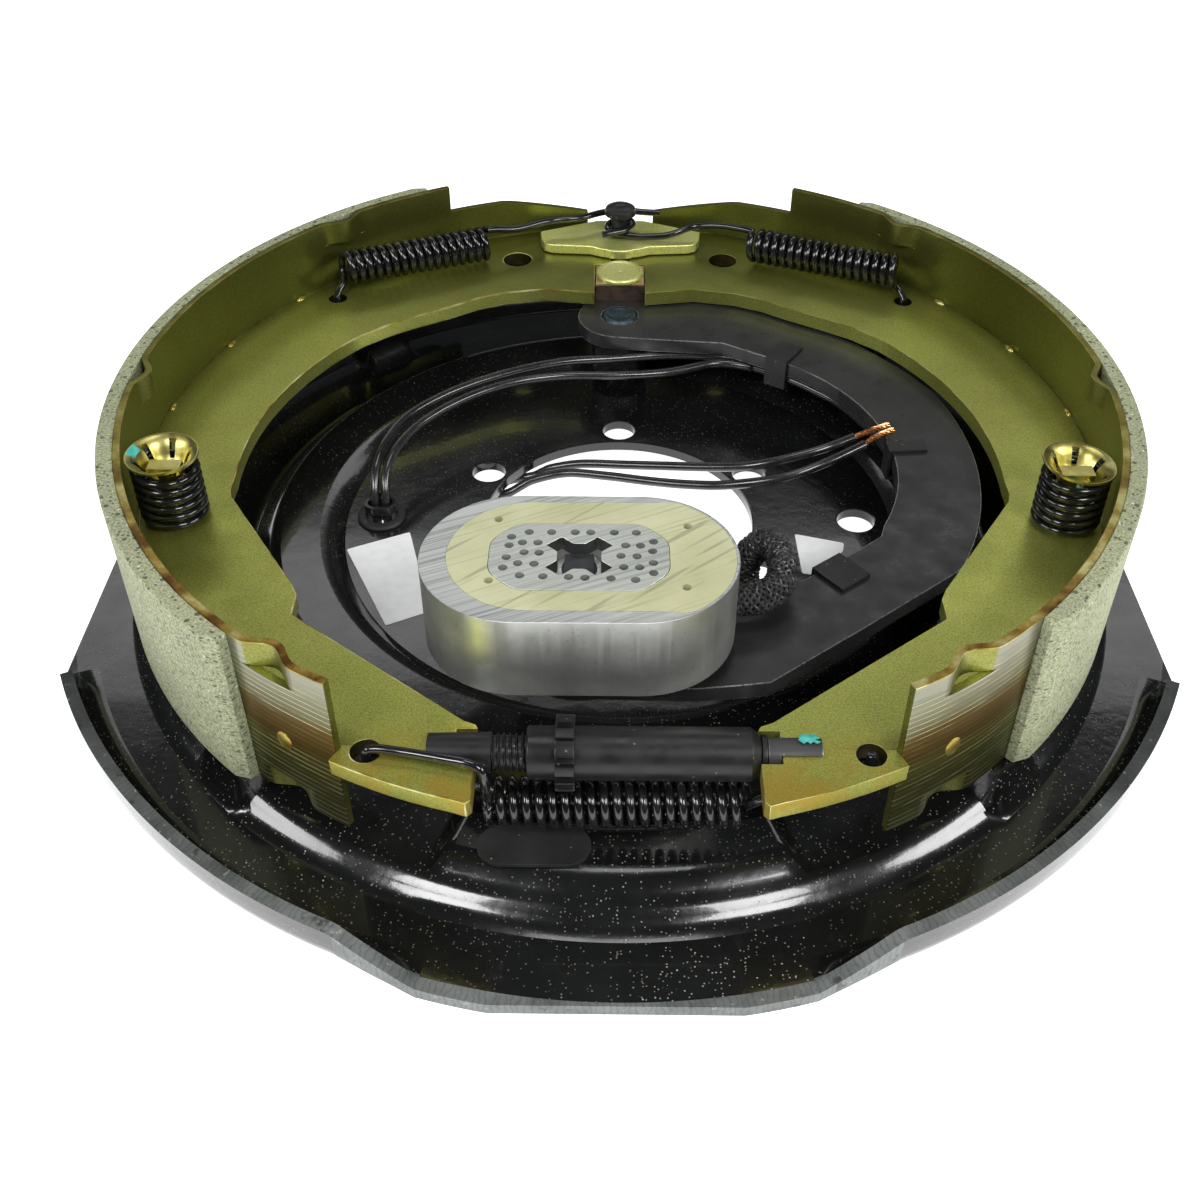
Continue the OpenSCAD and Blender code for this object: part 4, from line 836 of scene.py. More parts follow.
def plate_piece():
    """The pressed plate: rings of points outside the centre plate, and a flat centre plate with its holes."""
    bm = bmesh.new()
    top = densify(rounded_profile(TOP_PROFILE, 2.4, 3), 2.2)
    low = densify(rounded_profile(LOW_PROFILE, 3.0, 3), 3.2)
    n = 540
    verts = []
    for k, (r, z) in enumerate((top + low)[:-1]):
        floor = SHIELD_FLOOR if k < len(top) + 1 else SHIELD_UNDER
        ring = []
        for a in [360.0 * j / n for j in range(n)]:
            h = z + raised(r, a)
            if r > 160 and h > floor:
                h = floor + (h - floor) * lip_share(a)
            ring.append(bm.verts.new((*polar(min(r, edge_radius(a)), a), h)))
        verts.append(ring)
    holes = [circle2(HUB_R, 120)] + [circle2(BOLT_HOLE_R, 36, *polar(BOLT_R, 90 + 60 * k)) for k in range(6)]
    holes += [circle2(LEAD_HOLE_R, 36, s * LEAD_HOLE_X, 0) for s in (-1, 1)]
    walls = []
    for z in (PLATE_T, 0.0):
        ring = verts[0] if z else [bm.verts.new((x, y, z)) for x, y in circle2(CENTRE_R, n)]
        loops = [ring] + [[bm.verts.new((x, y, z)) for x, y in hole] for hole in holes]
        edges = [bm.edges.get(pair) or bm.edges.new(pair) for vs in loops for pair in pairs(vs)]
        bmesh.ops.triangle_fill(bm, edges=edges, use_beauty=True)
        walls.append(loops[1:])
    for a, b in list(zip(*walls)) + list(zip(verts, verts[1:] + [ring])):
        bridge(bm, a, b)
    bmesh.ops.remove_doubles(bm, verts=bm.verts, dist=0.02)
    bmesh.ops.dissolve_degenerate(bm, dist=0.01, edges=bm.edges)
    outward(bm)
    for f in bm.faces:
        c = f.calc_center_median()
        r, a = hypot(c.x, c.y), degrees(atan2(c.y, c.x))
        out = c.x * f.normal.x + c.y * f.normal.y
        cut = lip_share(a) < 1 and r > edge_radius(a) - 4
        if (r > 172.1 and f.normal.z > 0.5) or (cut and (out > 0.6 * r or (f.normal.z > 0.3 and c.z > -6.9))):
            f.material_index = 1
    bevel(bm, 0.5, 2, edges=[e for e in edges_over(bm, 1.2)
                             if all(hypot(v.co.x, v.co.y) < CENTRE_R - 2 for v in e.verts)])
    finish_mesh(bm, "backing_plate", "plate edge", "backing", sharp=42, flat=True)


plate_piece()

# Posts, pins and small parts of the plate
turned("anchor_post",
       [(0, -7.5), (8, -7.5), (9.5, -5.5), (7, -5.5), (7, -2), (12, -2), (12, 6), (8, 6), (8, GUIDE_LOW),
        (3.4, GUIDE_LOW), (3.4, 44.5), (5.9, 45.9), (5.9, 47.1), (5.5, 48.1), (4.2, 48.8), (2.4, 49.05),
        (1.4, 48.7), (0, 48.4)],
       "oxide", "backing", (0, ANCHOR_Y))
turned("lever_pivot_pin",
       [(0, -2), (8, -2), (8, 0), (5.5, 0), (5.5, 7.5), (10, 7.5), (10, PIN_SHOULDER), (6.5, PIN_SHOULDER),
        (6.5, 27.7), (5.6, 28.75), (4.6, 28.8), (3.6, 28.1), (1.5, 27.9), (0, 27.9)],
       "grease", "backing", (0, PIVOT_Y))
turned("lead_grommet",
       [(4.7, -1.5), (6.4, -1.5), (7.2, -1.1), (7.4, -0.5), (7.2, 0), (6, 0), (6, PLATE_T), (7.6, PLATE_T),
        (7.8, 4.1), (7.4, 4.8), (6.6, 5.0), (5.2, 5.0), (4.7, 4.5), (4.7, -1.5)],
       "rubber", "backing", (-LEAD_HOLE_X, 0), 48)
refined("hold_down_pins", "gold", "backing", 0.35)
refined("cable_tie", "wire", "backing", 0.25)


def plug_piece():
    bm = bmesh.new()
    for z0, z1, l, w in ((1.5, 2.7, 29, 12.6), (0.0, 1.5, 26, 9.6), (-3.5, 0.0, 28.4, 12.0)):
        add_prism(bm, [racetrack(l, w, 20, -21.0, -133.0)], z0, z1, 0.45, 3, 40)
    finish_mesh(bm, "adjuster_slot_plug", "rubber", "backing")


def label_piece(node, corners):
    """A paper label, slightly rounded at its corners."""
    bm = bmesh.new()
    prism(bm, [rounded_loop(corners, 0.8, 3)], PLATE_T + 0.02, PLATE_T + 0.15)
    finish_mesh(bm, node, "paper", "backing")


def guide_piece():
    """Boat-shaped guide plate over the web ends."""
    bm = bmesh.new()
    w = 30.5
    tip = [(w - 5, -10), (w - 2, -8.5), (w - 0.6, -5), (w, 1)]
    outline = ([(-x, y) for x, y in tip[::-1]] + [(-11, -11), (-7, -13)] + arc2((0, -6), 9, 235, 305, 10)
               + [(7, -13), (11, -11)] + tip + [(20, 5.7), (9, 10.4), (0, 10.8), (-9, 10.4), (-20, 5.7)])
    outline = [(x, y + ANCHOR_Y) for x, y in outline]
    prism(bm, [outline, circle2(3.55, 40, 0, ANCHOR_Y)], GUIDE_LOW, GUIDE_HIGH)
    bevel(bm, 0.5, 3, 50)
    finish_mesh(bm, "anchor_guide_plate", "guide", "backing")


plug_piece()
label_piece("label_left", [(-86, -17), (-69, -52.5), (-56.5, -46), (-67, -8)])
label_piece("label_right", [(56.5, -7.6), (57, -27), (62, -28), (71, -16), (71.8, -12)])
guide_piece()

# Lever, block and what the lever carries
refined("lever_arm", "lever worn", "lever", 0.3, edge=1)
for clip in ("lead_clip_upper", "lead_clip_middle", "lead_clip_lower"):
    refined(clip, "oxide", "lever", 0.22)
refined("magnet_post", "post", "lever", 0.3)
refined("actuating_block", "block", "block", 0.55, 3)
turned("block_stud",
       [(0, 23.2), (5, 23.2), (5, 28.2), (4.5, 28.2), (4.5, 35.2), (8.2, 35.2), (8.5, 35.5), (8.5, 36.3),
        (8.1, 36.75), (7.3, 36.8), (6.9, 36.45), (6.3, 36.4), (1.2, 36.4), (0.6, 36.2), (0, 36.15)],
       "guide", "lever", (0, BLOCK_Y))


def lead_piece(node, routes, body):
    return tubes(node, [smooth_path(route, 8) for route in routes], LEAD_D, 14, "wire", body, sharp=180)


LEAD_UNDER = LEVER_LOW - LEAD_D / 2 - 0.4
ARM_START = (44.2, -55.5, 19.2)
ARM_ROUTE = [(56, -56), (66, -48.2), (76.5, -38), (83.5, -19), (86.2, 3), (82.5, 22), (73.5, 39.5), (64, 50),
             (56, 56.6), (46, 62.6)]


def beside(q, side):
    """A point of one of the two leads that run side by side under the lever."""
    n = Vector((q[0] - 14, q[1] - 4)).normalized()
    d = side * (LEAD_D + 0.4) / 2 + LEAD_D + 0.5
    return (q[0] + n.x * d, q[1] + n.y * d, LEAD_UNDER)


ARM_LEADS = [[(ARM_START[0], ARM_START[1] - side * 1.7, ARM_START[2])] + [beside(q, side) for q in ARM_ROUTE]
             for side in (-1, 1)]
SPAN_A = [beside(ARM_ROUTE[-1], 1), (34, 71.5, 21.2), (16, 72, 21.1), (-2, 69.3, 21.3), (-20, 65, 22.4),
          (-38, 57, 23), (-56, 45.5, 23), (-70, 31, 22.6), (-76, 18, 21.2), (-78.4, 8, 18), (-78.7, 2, 13),
          (-78.7, 0, 8), (-78.7, 0, 3.5), (-78.7, 0, -1)]
SPAN_B = [beside(ARM_ROUTE[-1], -1), (34, 66.5, 21.2), (16, 60, 21.4), (-2, 57, 22), (-20, 55.5, 22.6),
          (-38, 50.2, 22.8), (-53.6, 40, 22.6), (-66, 27, 21.8), (-72.4, 15, 20.4), (-75, 6.5, 17.2),
          (-75.3, 1.5, 12.5), (-75.3, 0, 8), (-75.3, 0, 3.5), (-75.3, 0, -1)]
lead_piece("arm_leads", ARM_LEADS, "lever")
span = lead_piece("span_leads", [SPAN_A, SPAN_B], None)
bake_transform(span)


# Magnet
def at_magnet(points):
    return [(x + MAGNET_X, y + MAGNET_Y) for x, y in points]


def magnet_outline(inset):
    return racetrack(MAGNET_L - 2 * inset, MAGNET_W - 2 * inset, 28)


def pocket_outline():
    """Edge of the cast resin: a wide steel margin on the left and none on the right."""
    back, front, left = 22.45, -20.85, -34.0
    r_mid, r_half = (back + front) / 2, (back - front) / 2
    right = sorted([(x, y) for x, y in magnet_outline(0.8) if x > 27.5], key=lambda p: atan2(p[1], p[0] - 15))
    return (arc2((left + r_half, r_mid), r_half, 90, 270, 28) + [(20, front), (25.5, front - 0.5)] + right
            + [(25.5, back + 0.3), (20, back)])


def magnet_case_piece():
    bm = bmesh.new()
    outline, floor = at_magnet(magnet_outline(0)), MAGNET_HIGH - 4.0
    add_prism(bm, [outline, circle2(6.0, 36, MAGNET_X, MAGNET_Y)], MAGNET_LOW, floor)
    add_prism(bm, [outline, at_magnet(pocket_outline())[::-1]], floor, MAGNET_HIGH)
    bmesh.ops.remove_doubles(bm, verts=bm.verts, dist=0.001)
    bevel(bm, 0.25, 2, edges=[e for e in edges_over(bm, 1.0) if all(
        abs(v.co.z - MAGNET_HIGH) < 0.01 or abs(v.co.z - MAGNET_LOW) < 0.01 for v in e.verts)])
    for f in bm.faces:
        f.normal_update()
        f.material_index = 1 if f.normal.z > 0.7 and f.calc_center_median().z > MAGNET_HIGH - 1 else 0
    finish_mesh(bm, "magnet_case", "magnet_side machined", "magnet", sharp=40)


def core_loop(l, w):
    """The core's outline, with its four corners cut off."""
    c, x, y = 7, l / 2, w / 2
    return rounded_loop([(x, c - y), (x, y - c), (x - c, y), (c - x, y), (-x, y - c), (-x, c - y), (c - x, -y),
                         (x - c, -y)], 3.0)


def cross_loop():
    q = [(5.6, 1.8), (8.6, 4.4), (4.6, 7.8), (1.6, 5.0)]
    return rounded_loop(q + [(-x, y) for x, y in q[::-1]] + [(-x, -y) for x, y in q]
                        + [(x, -y) for x, y in q[::-1]], 0.6, 3)


# The dimples' places on a drawing of the core with its middle at (745, 345)
DIMPLES = [(530, 240), (625, 240), (725, 240), (790, 240), (890, 240), (983, 240), (457, 262), (450, 300),
           (443, 352), (433, 397), (505, 287), (570, 287), (515, 330), (578, 332), (493, 378), (560, 380),
           (505, 430), (600, 433), (705, 435), (772, 438), (878, 440), (978, 445), (1055, 280), (1050, 322),
           (1052, 373), (1052, 416), (938, 297), (1000, 298), (918, 343), (985, 345), (930, 392), (995, 392)]


def magnet_core_piece():
    bm = bmesh.new()
    outer, cross = at_magnet(core_loop(46, 26.5)), at_magnet(cross_loop())
    spots = at_magnet([((x - 745) / 16.3, -(y - 345) / 10.9) for x, y in DIMPLES])
    loops = [outer, cross[::-1]] + [circle2(1.2, 16, x, y)[::-1] for x, y in spots]
    made = fill_loops(bm, loops, MAGNET_HIGH)
    low_outer = [bm.verts.new((x, y, MAGNET_HIGH - 4.3)) for x, y in outer]
    low_cross = [bm.verts.new((x, y, MAGNET_LOW + 3)) for x, y in cross[::-1]]
    bridge(bm, low_outer, made[0])
    bridge(bm, low_cross, made[1])
    for (x, y), ring in zip(spots, made[2:]):
        tip = bm.verts.new((x, y, MAGNET_HIGH - 1.0))
        for a, b in pairs(ring):
            bm.faces.new([a, b, tip]).material_index = 2
    bmesh.ops.triangle_fill(bm, edges=[bm.edges.get(pair) for pair in pairs(low_outer)], use_beauty=True)
    fill_loops(bm, [cross], MAGNET_LOW + 3.0)
    bmesh.ops.remove_doubles(bm, verts=bm.verts, dist=0.0005)
    outward(bm)
    bevel(bm, 0.12, 1, edges=[e for e in edges_over(bm, 1.0)
                              if all(abs(v.co.z - MAGNET_HIGH) < 0.01 for v in e.verts)])
    for f in bm.faces:
        c = f.calc_center_median()
        if abs(f.normal.z) < 0.3 and abs(c.x - MAGNET_X) < 15 and abs(c.y - MAGNET_Y) < 11:
            f.material_index = 1
    finish_mesh(bm, "magnet_core", "core cast dimple", "magnet")


def resin_piece():
    bm = bmesh.new()
    pits = at_magnet([(-21.5, 15.0), (28.0, 12.6), (-22.4, -9.7), (27.0, -11.8)])
    prism(bm, [at_magnet(pocket_outline()), at_magnet(core_loop(46.3, 26.8))[::-1]]
          + [circle2(1.2, 20, x, y)[::-1] for x, y in pits], MAGNET_HIGH - 3.9, MAGNET_HIGH - 0.06)
    finish_mesh(bm, "magnet_potting", "resin", "magnet")


def magnet_spring_piece():
    """A flat spiral that narrows upwards from the lever to the magnet."""
    pts = []
    for t in [i / 6 for i in range(48 * 6 + 1)]:
        a, r = radians(22.5 * t), 16 - t / 8
        pts.append((MAGNET_X + r * cos(a), MAGNET_Y + r * sin(a), LEVER_HIGH + 0.8 + 1.7 * t / 48))
    spring = tubes("magnet_spring", [pts], 1.6, 10, "machined", None)
    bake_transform(spring)


def braid_piece():
    """Woven sleeve: strands run both ways round the leads, over and under each other, on a near-black core painted as
    the shade in their gaps.
    """
    bm = bmesh.new()
    pts = smooth_path([(31.3, -75.5, 35.4), (36.8, -75, 35), (42.5, -71.5, 35.6), (45, -65, 37),
                       (44, -57.5, 37.5), (40.5, -53, 36), (37, -52.4, 32), (35.6, -53.6, 27),
                       (36.2, -55, 22.4), (39.4, -55.2, 19.6), (44.0, -55.5, 19.2)], 16)
    run = [0.0]
    for a, b in zip(pts, pts[1:]):
        run.append(run[-1] + (b - a).length)
    # near-black core under the strands, coloured as painted shade for the weave's gaps
    tube(bm, pts, 3.6, 18)
    for f in bm.faces:
        f.material_index = 1
    count, pitch = 10, 16.0
    for way in (-1, 1):
        for k in range(count):
            line = []
            for p, (t, nrm), s in zip(pts, frames(pts), run):
                lift = 3.85 + 0.3 * cos(2 * pi * count * s / pitch + pi * (k + (way > 0)))
                line.append(p + lift * around(t, nrm, 2 * pi * (k / count + way * s / pitch)))
            tube(bm, line, 0.5, 8)
    finish_mesh(bm, "braided_sleeve", "braid braid_gap", "lever", weighted=False)


magnet_case_piece()
magnet_core_piece()
resin_piece()
for node, key in (("magnet_coil", "copper"), ("magnet_retainer", "post")):
    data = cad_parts[node].data
    data.materials.clear()
    data.materials.append(M[key])
magnet_spring_piece()
braid_piece()


# Shoes
def rim_bump(a):
    """How far the lanced tabs stand in, at an angle in degrees."""
    for b in TABS:
        x = abs(a - b) / TAB_HALF
        if x < 1:
            return 3.6 * cos(pi / 2 * x) ** 2
    return 0.0


def rim_angles(low_a, top_a):
    """Angles of the rim's columns, closer together at the tabs and with one at each tab's edge."""
    angles = []
    a = low_a
    while a < top_a - 1e-6:
        angles.append(a)
        a += 0.5 if any(abs(a - b) < 3.9 for b in TABS) else 1.25
        for edge in [b + d for b in TABS for d in (-TAB_HALF, TAB_HALF)]:
            if angles[-1] < edge - 1e-6 < a - 1e-6:
                a = edge
    return angles + [top_a]


def rim_piece(side, sign):
    """The rim: columns of (outer, inner) points, with slits between the tabs and the middle band, and with a
    tongue at its upper end."""
    bm = bmesh.new()
    low_a, top_a = -62.6, 64.0
    rows = [(-25.4, 1), (-17.6, 1), (-17.6, 0), (-16, 0), (-8, 0), (0, 0), (8, 0), (16, 0), (17.6, 0),
            (17.6, 1), (25.4, 1)]
    slits, tongue = (1, 8), (3, 4, 5, 6, 7)

    def pair(a, z, off=0.0):
        made = []
        for r in (RIM_OUT - off, RIM_IN - off):
            x, y = polar(r, a)
            made.append(bm.verts.new((sign * x, y, WEB_MID + z)))
        return tuple(made)

    def face(*vs):
        vs = list(dict.fromkeys(vs))
        if len(vs) > 2:
            bm.faces.new(vs)

    def join(c, e, open_rows=()):
        for i in range(len(c) - 1):
            if i not in open_rows:
                face(c[i][0], e[i][0], e[i + 1][0], c[i + 1][0])
                face(c[i][1], c[i + 1][1], e[i + 1][1], e[i][1])
            elif c[i] is not c[i + 1] or e[i] is not e[i + 1]:
                face(c[i][0], e[i][0], e[i][1], c[i][1])
                face(c[i + 1][0], e[i + 1][0], e[i + 1][1], c[i + 1][1])
        face(c[0][0], c[0][1], e[0][1], e[0][0])
        face(c[-1][0], e[-1][0], e[-1][1], c[-1][1])

    def close(col, i):
        face(col[i][0], col[i + 1][0], col[i + 1][1], col[i][1])

    cols = []
    for a in rim_angles(low_a, top_a):
        d = rim_bump(a)
        col = []
        for i, (z, lanced) in enumerate(rows):
            col.append(col[-1] if i in (2, 9) and d < 1e-6 else pair(a, z, d * lanced))
        cols.append(col)
    for c, e in zip(cols, cols[1:]):
        join(c, e, slits)
    for i in range(len(rows) - 1):
        if i not in slits:
            close(cols[0], i)
            if i not in tongue[:-1]:
                close(cols[-1], i)
    previous = [cols[-1][i] for i in tongue]
    tip = 90 - degrees(asin(12.5 / RIM_IN))
    steps = 18
    for k in range(1, steps + 1):
        a = top_a + (tip - top_a) * k / steps
        x = RIM_OUT * cos(radians(a))
        half = 16.0 if x > 44 else 9.0 + (x - 10) / 34 * 7.0
        col = [pair(a, rows[i][0] / 16.0 * half) for i in tongue]
        join(previous, col)
        previous = col
    for i in range(4):
        close(previous, i)
    outward(bm)
    bevel(bm, 0.3, 2, 50)
    add_blob(bm, sign, RIM_OUT, -56, 28.5, (0.45, 2.5, 3.0), (20, 12))
    finish_mesh(bm, side + "_rim", "rim zinc_edge", side + "_shoe", sharp=40)


def lining_piece(side, sign, low_a, top_a):
    """The lining, with its two ends chamfered."""
    bm = bmesh.new()
    edge, n = 1.55, 80
    angles = [-low_a, -low_a + edge * 0.5, -low_a + edge]
    angles += [-low_a + edge + (top_a + low_a - 2 * edge) * i / n for i in range(1, n)]
    angles += [top_a - edge, top_a - edge * 0.5, top_a]
    cols = []
    for a in angles:
        from_end = min(a + low_a, top_a - a)
        r = LINING_R - (1.9 * (1 - from_end / edge) if from_end < edge else 0.0)
        col = []
        for rr, z in ((RIM_OUT, 6.4), (r - 0.5, 6.4), (r, 6.9), (r, WEB_MID), (r, 56.1), (r - 0.5, 56.6),
                      (RIM_OUT, 56.6)):
            x, y = polar(rr, a)
            col.append(bm.verts.new((sign * x, y, z)))
        cols.append(col)
    for c, e in zip(cols, cols[1:]):
        for (p, q), (s, t) in zip(pairs(c), pairs(e)):
            bm.faces.new([p, s, t, q])
    bm.faces.new(cols[0])
    bm.faces.new(cols[-1][::-1])
    outward(bm)
    bevel(bm, 0.3, 2, 40)
    finish_mesh(bm, side + "_lining", "lining", side + "_shoe", sharp=30)


def web_piece(side, sign):
    """The web, with the walls of its eyes in shadow and weld spots along the rim."""
    eyes = [POST_EYE, (HOLD_X, -HOLD_Y, 5.5), RETURN_EYE, ADJUSTER_EYE]

    def dress(bm):
        for f in bm.faces:
            c = f.calc_center_median()
            if abs(f.normal.z) < 0.5 and any(hypot(sign * c.x - x, c.y - y) < r + 0.1 for x, y, r in eyes):
                f.material_index = 2
        for a in (52, 37.5, 23, 7, -30, -52):
            add_blob(bm, sign, RIM_IN - 0.9, a, WEB_HIGH, (1.1, 2.4, 0.9), (18, 10))

    refined(side + "_web", "web zinc_edge hole", side + "_shoe", 0.45, 2, 40, dress, 1)


def cup_piece(side, sign, teal, tilt):
    """Dished cup with six slots in its wall; teal is where its paint mark lies: radii and angles."""
    rows = [(2.5, 49.9), (3.6, 49.9), (4.6, 50.0), (5.3, 50.6), (6.0, 51.9), (6.8, 53.4), (7.6, 54.6),
            (8.5, 55.4), (9.3, 55.9), (9.9, 56.15), (CUP_R, 56.1)]
    steps = 72
    bm = bmesh.new()

    def put(r, j, z):
        x, y = r * cos(2 * pi * j / steps), r * sin(2 * pi * j / steps)
        leaned = z - tan(radians(tilt)) * (x + CUP_R * (tilt > 0))
        return bm.verts.new((sign * HOLD_X + x, -HOLD_Y + y, leaned))

    high = [[put(r, j, z) for j in range(steps)] for r, z in rows]
    low = [[put(r, j, z - 0.8 * (0.85 if i else 1)) for j in range(steps)] for i, (r, z) in enumerate(rows)]

    def there(i, j):
        slot = i in (3, 4, 5, 6) and (j % steps - 3) % 12 in (0, 1, 2)
        return 0 <= i < len(rows) - 1 and not slot

    for i in range(len(rows) - 1):
        for j in range(steps):
            if not there(i, j):
                continue
            k = (j + 1) % steps
            f = bm.faces.new([high[i][j], high[i + 1][j], high[i + 1][k], high[i][k]])
            if teal[0] <= rows[i][0] <= teal[1] and teal[2] <= 360.0 * j / steps <= teal[3]:
                f.material_index = 1
            bm.faces.new([low[i][j], low[i][k], low[i + 1][k], low[i + 1][j]])
            for ok, p, q in ((there(i - 1, j), (i, j), (i, k)), (there(i + 1, j), (i + 1, k), (i + 1, j)),
                             (there(i, j - 1), (i + 1, j), (i, j)), (there(i, j + 1), (i, k), (i + 1, k))):
                if not ok:
                    bm.faces.new([high[p[0]][p[1]], high[q[0]][q[1]], low[q[0]][q[1]], low[p[0]][p[1]]])
    outward(bm)
    finish_mesh(bm, side + "_hold_cup", "gold teal", "backing", sharp=50)


for side, sign, low_a, top_a in (("primary", 1, 45.8, 54), ("secondary", -1, 50.5, 61)):
    rim_piece(side, sign)
    lining_piece(side, sign, low_a, top_a)
    web_piece(side, sign)
cup_piece("secondary", -1, (7.4, 9.4, 155, 180), 0)
cup_piece("primary", 1, (2.5, 4.7, 235, 275), 5)

# Springs
for side, sign in (("primary", 1), ("secondary", -1)):
    line = coil((HOLD_X, -HOLD_Y, WEB_HIGH + 0.3 + 1.1), (HOLD_X, -HOLD_Y, WEB_HIGH + CUP_HIGH - 1.7 - 1.1),
                (HOLD_COIL - HOLD_WIRE) / 2, 6, 0)
    hold_spring = tubes(side + "_hold_spring", [[(sign * p.x, p.y, p.z) for p in line]], HOLD_WIRE, 12,
                        "spring", "primary_shoe" if sign > 0 else None)
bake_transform(hold_spring)

WRAP = 3.4 + RETURN_WIRE / 2 + 0.15


def return_coil(sign):
    """The hook in the web's eye and the coil, which both return springs share."""
    x, y, _ = RETURN_EYE
    hook = [(sign * x, y, WEB_LOW - 1.5), (sign * x, y, WEB_HIGH + 1), (sign * 101, 90.5, WEB_HIGH + 2.4)]
    return hook + coil((sign * 99, 93.5, 43.2), (sign * 49, 117, 41.5), 5.1, 17.5, 90)


primary_line = (return_coil(1)
                + smooth_path([(46, 118.8, 46.6), (38, 124, 45.4), (28, 128.5, WIRE_Z + 3.4),
                               (18, 126.5, WIRE_Z + 0.8), (8, ANCHOR_Y - WRAP - 1.6, WIRE_Z)], 5)
                + [(WRAP * cos(radians(a)), ANCHOR_Y + WRAP * sin(radians(a)),
                    WIRE_Z + (270 - a) / 300 * (RETURN_WIRE + 0.2)) for a in range(270, -31, -10)]
                + [(1, ANCHOR_Y - 6.6, WIRE_Z + RETURN_WIRE), (-6.5, ANCHOR_Y - 9.5, WIRE_Z + RETURN_WIRE)])
secondary_line = (return_coil(-1)
                  + smooth_path([(-46, 118.6, 46.2), (-38, 122.5, 44.6), (-27, 130.5, 43.8), (-16, 133, 43.8),
                                 (-8, 137.4, WIRE_Z + 4.4)], 5)
                  + smooth_path([(0, ANCHOR_Y + WRAP + 1.6, WIRE_Z + 5), (8, 138.5, WIRE_Z + 4.4),
                                 (15, 138.5, WIRE_Z + 4)], 5))
tubes("primary_return_spring", [primary_line], RETURN_WIRE, 12, "spring", "backing")
secondary_spring = tubes("secondary_return_spring", [secondary_line], RETURN_WIRE, 12, "spring", None)
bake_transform(secondary_spring)

ADJ_AXIS_Y, ADJ_AXIS_Z = ADJUSTER_Y - 2, WEB_MID - 9.3 - 12.5 / 2 - 0.3
adjust_line = (smooth_path([(-60, -131, WEB_LOW - 1), (-60.4, -131, WEB_HIGH), (-58, -131, WEB_HIGH + 1.6),
                            (-52, -131.8, WEB_HIGH + 1.6), (-46, -133, WEB_HIGH + 1.6),
                            (-40, -134.4, WEB_HIGH + 1.7), (-36, -135.4, WEB_HIGH + 1.8),
                            (-33, -136.3, WEB_HIGH + 1), (-31.8, -137, WEB_HIGH - 1.4),
                            (-31.6, -137, WEB_MID - 4)], 5)
               + coil((-32, ADJ_AXIS_Y, ADJ_AXIS_Z), (32, ADJ_AXIS_Y, ADJ_AXIS_Z), (12.5 - 1.9) / 2, 20, -45)
               + smooth_path([(34, -135.2, WEB_LOW - 6), (38, -136, WEB_LOW - 3.4), (46, -134.5, WEB_LOW - 2),
                              (56, -132, WEB_LOW - 1.6), (60, -131, WEB_LOW), (60.4, -131, WEB_HIGH + 1)], 5))
tubes("adjuster_spring", [adjust_line], ADJUST_WIRE, 12, "spring", "backing")


# Adjuster
def teal_mark(bm):
    """A dab of paint on top of the socket."""
    for f in bm.faces:
        if f.normal.z > 0.3 and 44 < f.calc_center_median().x < 51 and f.calc_area() > 2:
            f.material_index = 0
    dab = bmesh.new()
    rows = []
    for i in range(9):
        rows.append([])
        for j in range(9):
            y, z = polar(4.95, 57 + 5 * j + 4 * sin(1.9 * i))
            x = 45.6 + (4.4 + 0.7 * sin(2.1 * j)) * (i - 4) / 8 + 0.5 * cos(1.7 * j)
            rows[i].append(dab.verts.new((x, ADJUSTER_Y + y, WEB_MID + z)))
    for a, b in zip(rows, rows[1:]):
        for i in range(8):
            dab.faces.new([a[i], b[i], b[i + 1], a[i + 1]]).material_index = 2
    got = bmesh.ops.extrude_face_region(dab, geom=dab.faces[:])
    for v in [g for g in got["geom"] if isinstance(g, bmesh.types.BMVert)]:
        v.co += Vector((0, v.co.y - ADJUSTER_Y, v.co.z - WEB_MID)).normalized() * 0.12
    outward(dab)
    copy_into(bm, dab)


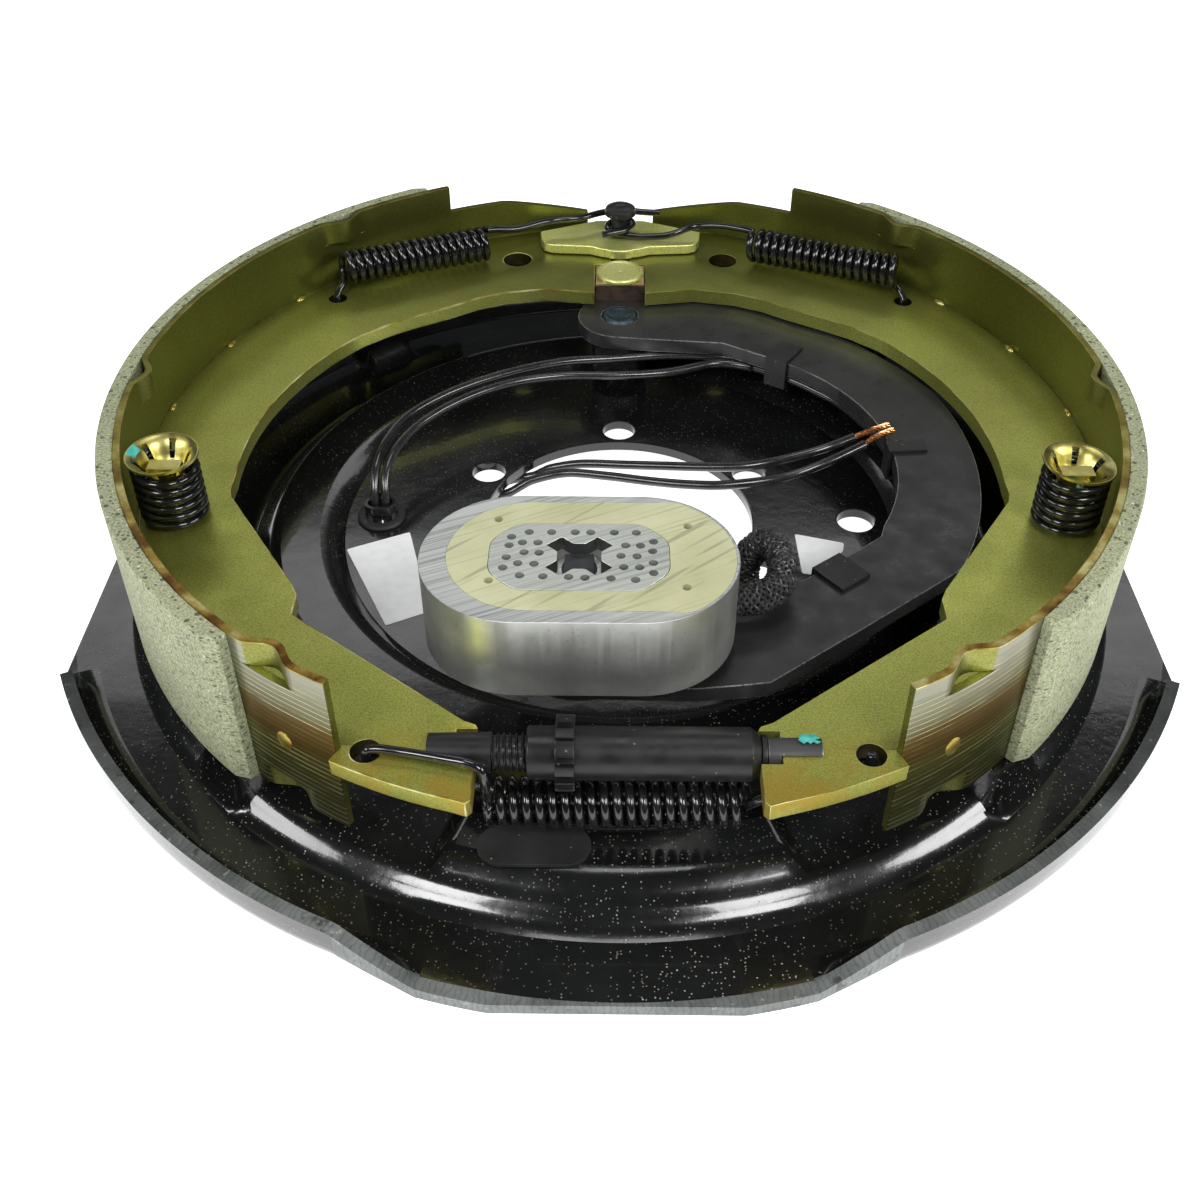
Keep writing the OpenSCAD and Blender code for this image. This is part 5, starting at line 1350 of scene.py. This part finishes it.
def adjuster_screw_piece():
    """The CAD screw up to where its thread begins, and turns of thread from there to the sleeve."""
    x0, x1, pitch, steps, per = -30.4, -19.0, 1.5, 40, 8
    bm = bmesh.new()
    cad = cad_copy("adjuster_screw")
    bmesh.ops.bisect_plane(cad, geom=cad.verts[:] + cad.edges[:] + cad.faces[:], plane_co=(x0, 0, 0),
                           plane_no=(1, 0, 0), clear_outer=True)
    bevel(cad, 0.35, 2, 35)
    copy_into(bm, cad)
    thread = bmesh.new()
    rows = []
    count = int((x1 - x0) / pitch * per)
    for i in range(count + 1):
        x = x0 + (x1 - x0) * i / count
        ring = []
        for k in range(steps):
            r = 4.8 - 0.62 * smoothstep(0.12, 0.5, abs(2 * ((x / pitch - k / steps) % 1.0) - 1))
            a = 2 * pi * k / steps
            ring.append(thread.verts.new((x, ADJUSTER_Y + r * cos(a), WEB_MID + r * sin(a))))
        rows.append(ring)
    for a, b in zip(rows, rows[1:]):
        bridge(thread, a, b)
    thread.faces.new(rows[0][::-1])
    thread.faces.new(rows[-1])
    outward(thread)
    copy_into(bm, thread)
    finish_mesh(bm, "adjuster_screw", "adjuster", "screw", sharp=30)


def adjuster_sleeve_piece():
    """The sleeve and its star wheel, built along Z and then laid along X."""
    bm = bmesh.new()
    revolve(bm, rounded_profile([(5.1, -21.9), (6.2, -22), (6.6, -21.6), (6.6, -15.4), (6.6, -10.0),
                                 (6.6, 32.0), (4.9, 34.2), (3.5, 34.2)], 0.15, 2), 64)
    inner = bmesh.new()
    revolve(inner, [(5.1, -21.9), (5.1, -16)], 64)
    revolve(inner, [(3.5, 34.2), (3.5, 30)], 64)
    for f in inner.faces:
        f.normal_flip()
    copy_into(bm, inner)
    loop = []
    for a in [30.0 * i + 12 for i in range(12)]:
        loop += ([polar(7.2, a - 7.6)] + [polar(9.3, a - 8.2 + 16.4 * k / 4) for k in range(4)]
                 + [polar(9.3, a + 8.2), polar(7.2, a + 7.6)])
    add_prism(bm, [loop], -15, -10.4, 0.25, 2, 30)
    lay = Matrix.Translation((0, ADJUSTER_Y, WEB_MID)) @ Matrix.Rotation(radians(90), 4, "Y")
    bmesh.ops.transform(bm, matrix=lay, verts=bm.verts)
    outward(bm)
    finish_mesh(bm, "adjuster_sleeve", "adjuster worn", "sleeve", sharp=35)


adjuster_screw_piece()
adjuster_sleeve_piece()
refined("thrust_washer", "adjuster", "washer", 0.15)
refined("adjuster_socket", "cast worn teal", "socket", 0.35, extra=teal_mark, edge=1)
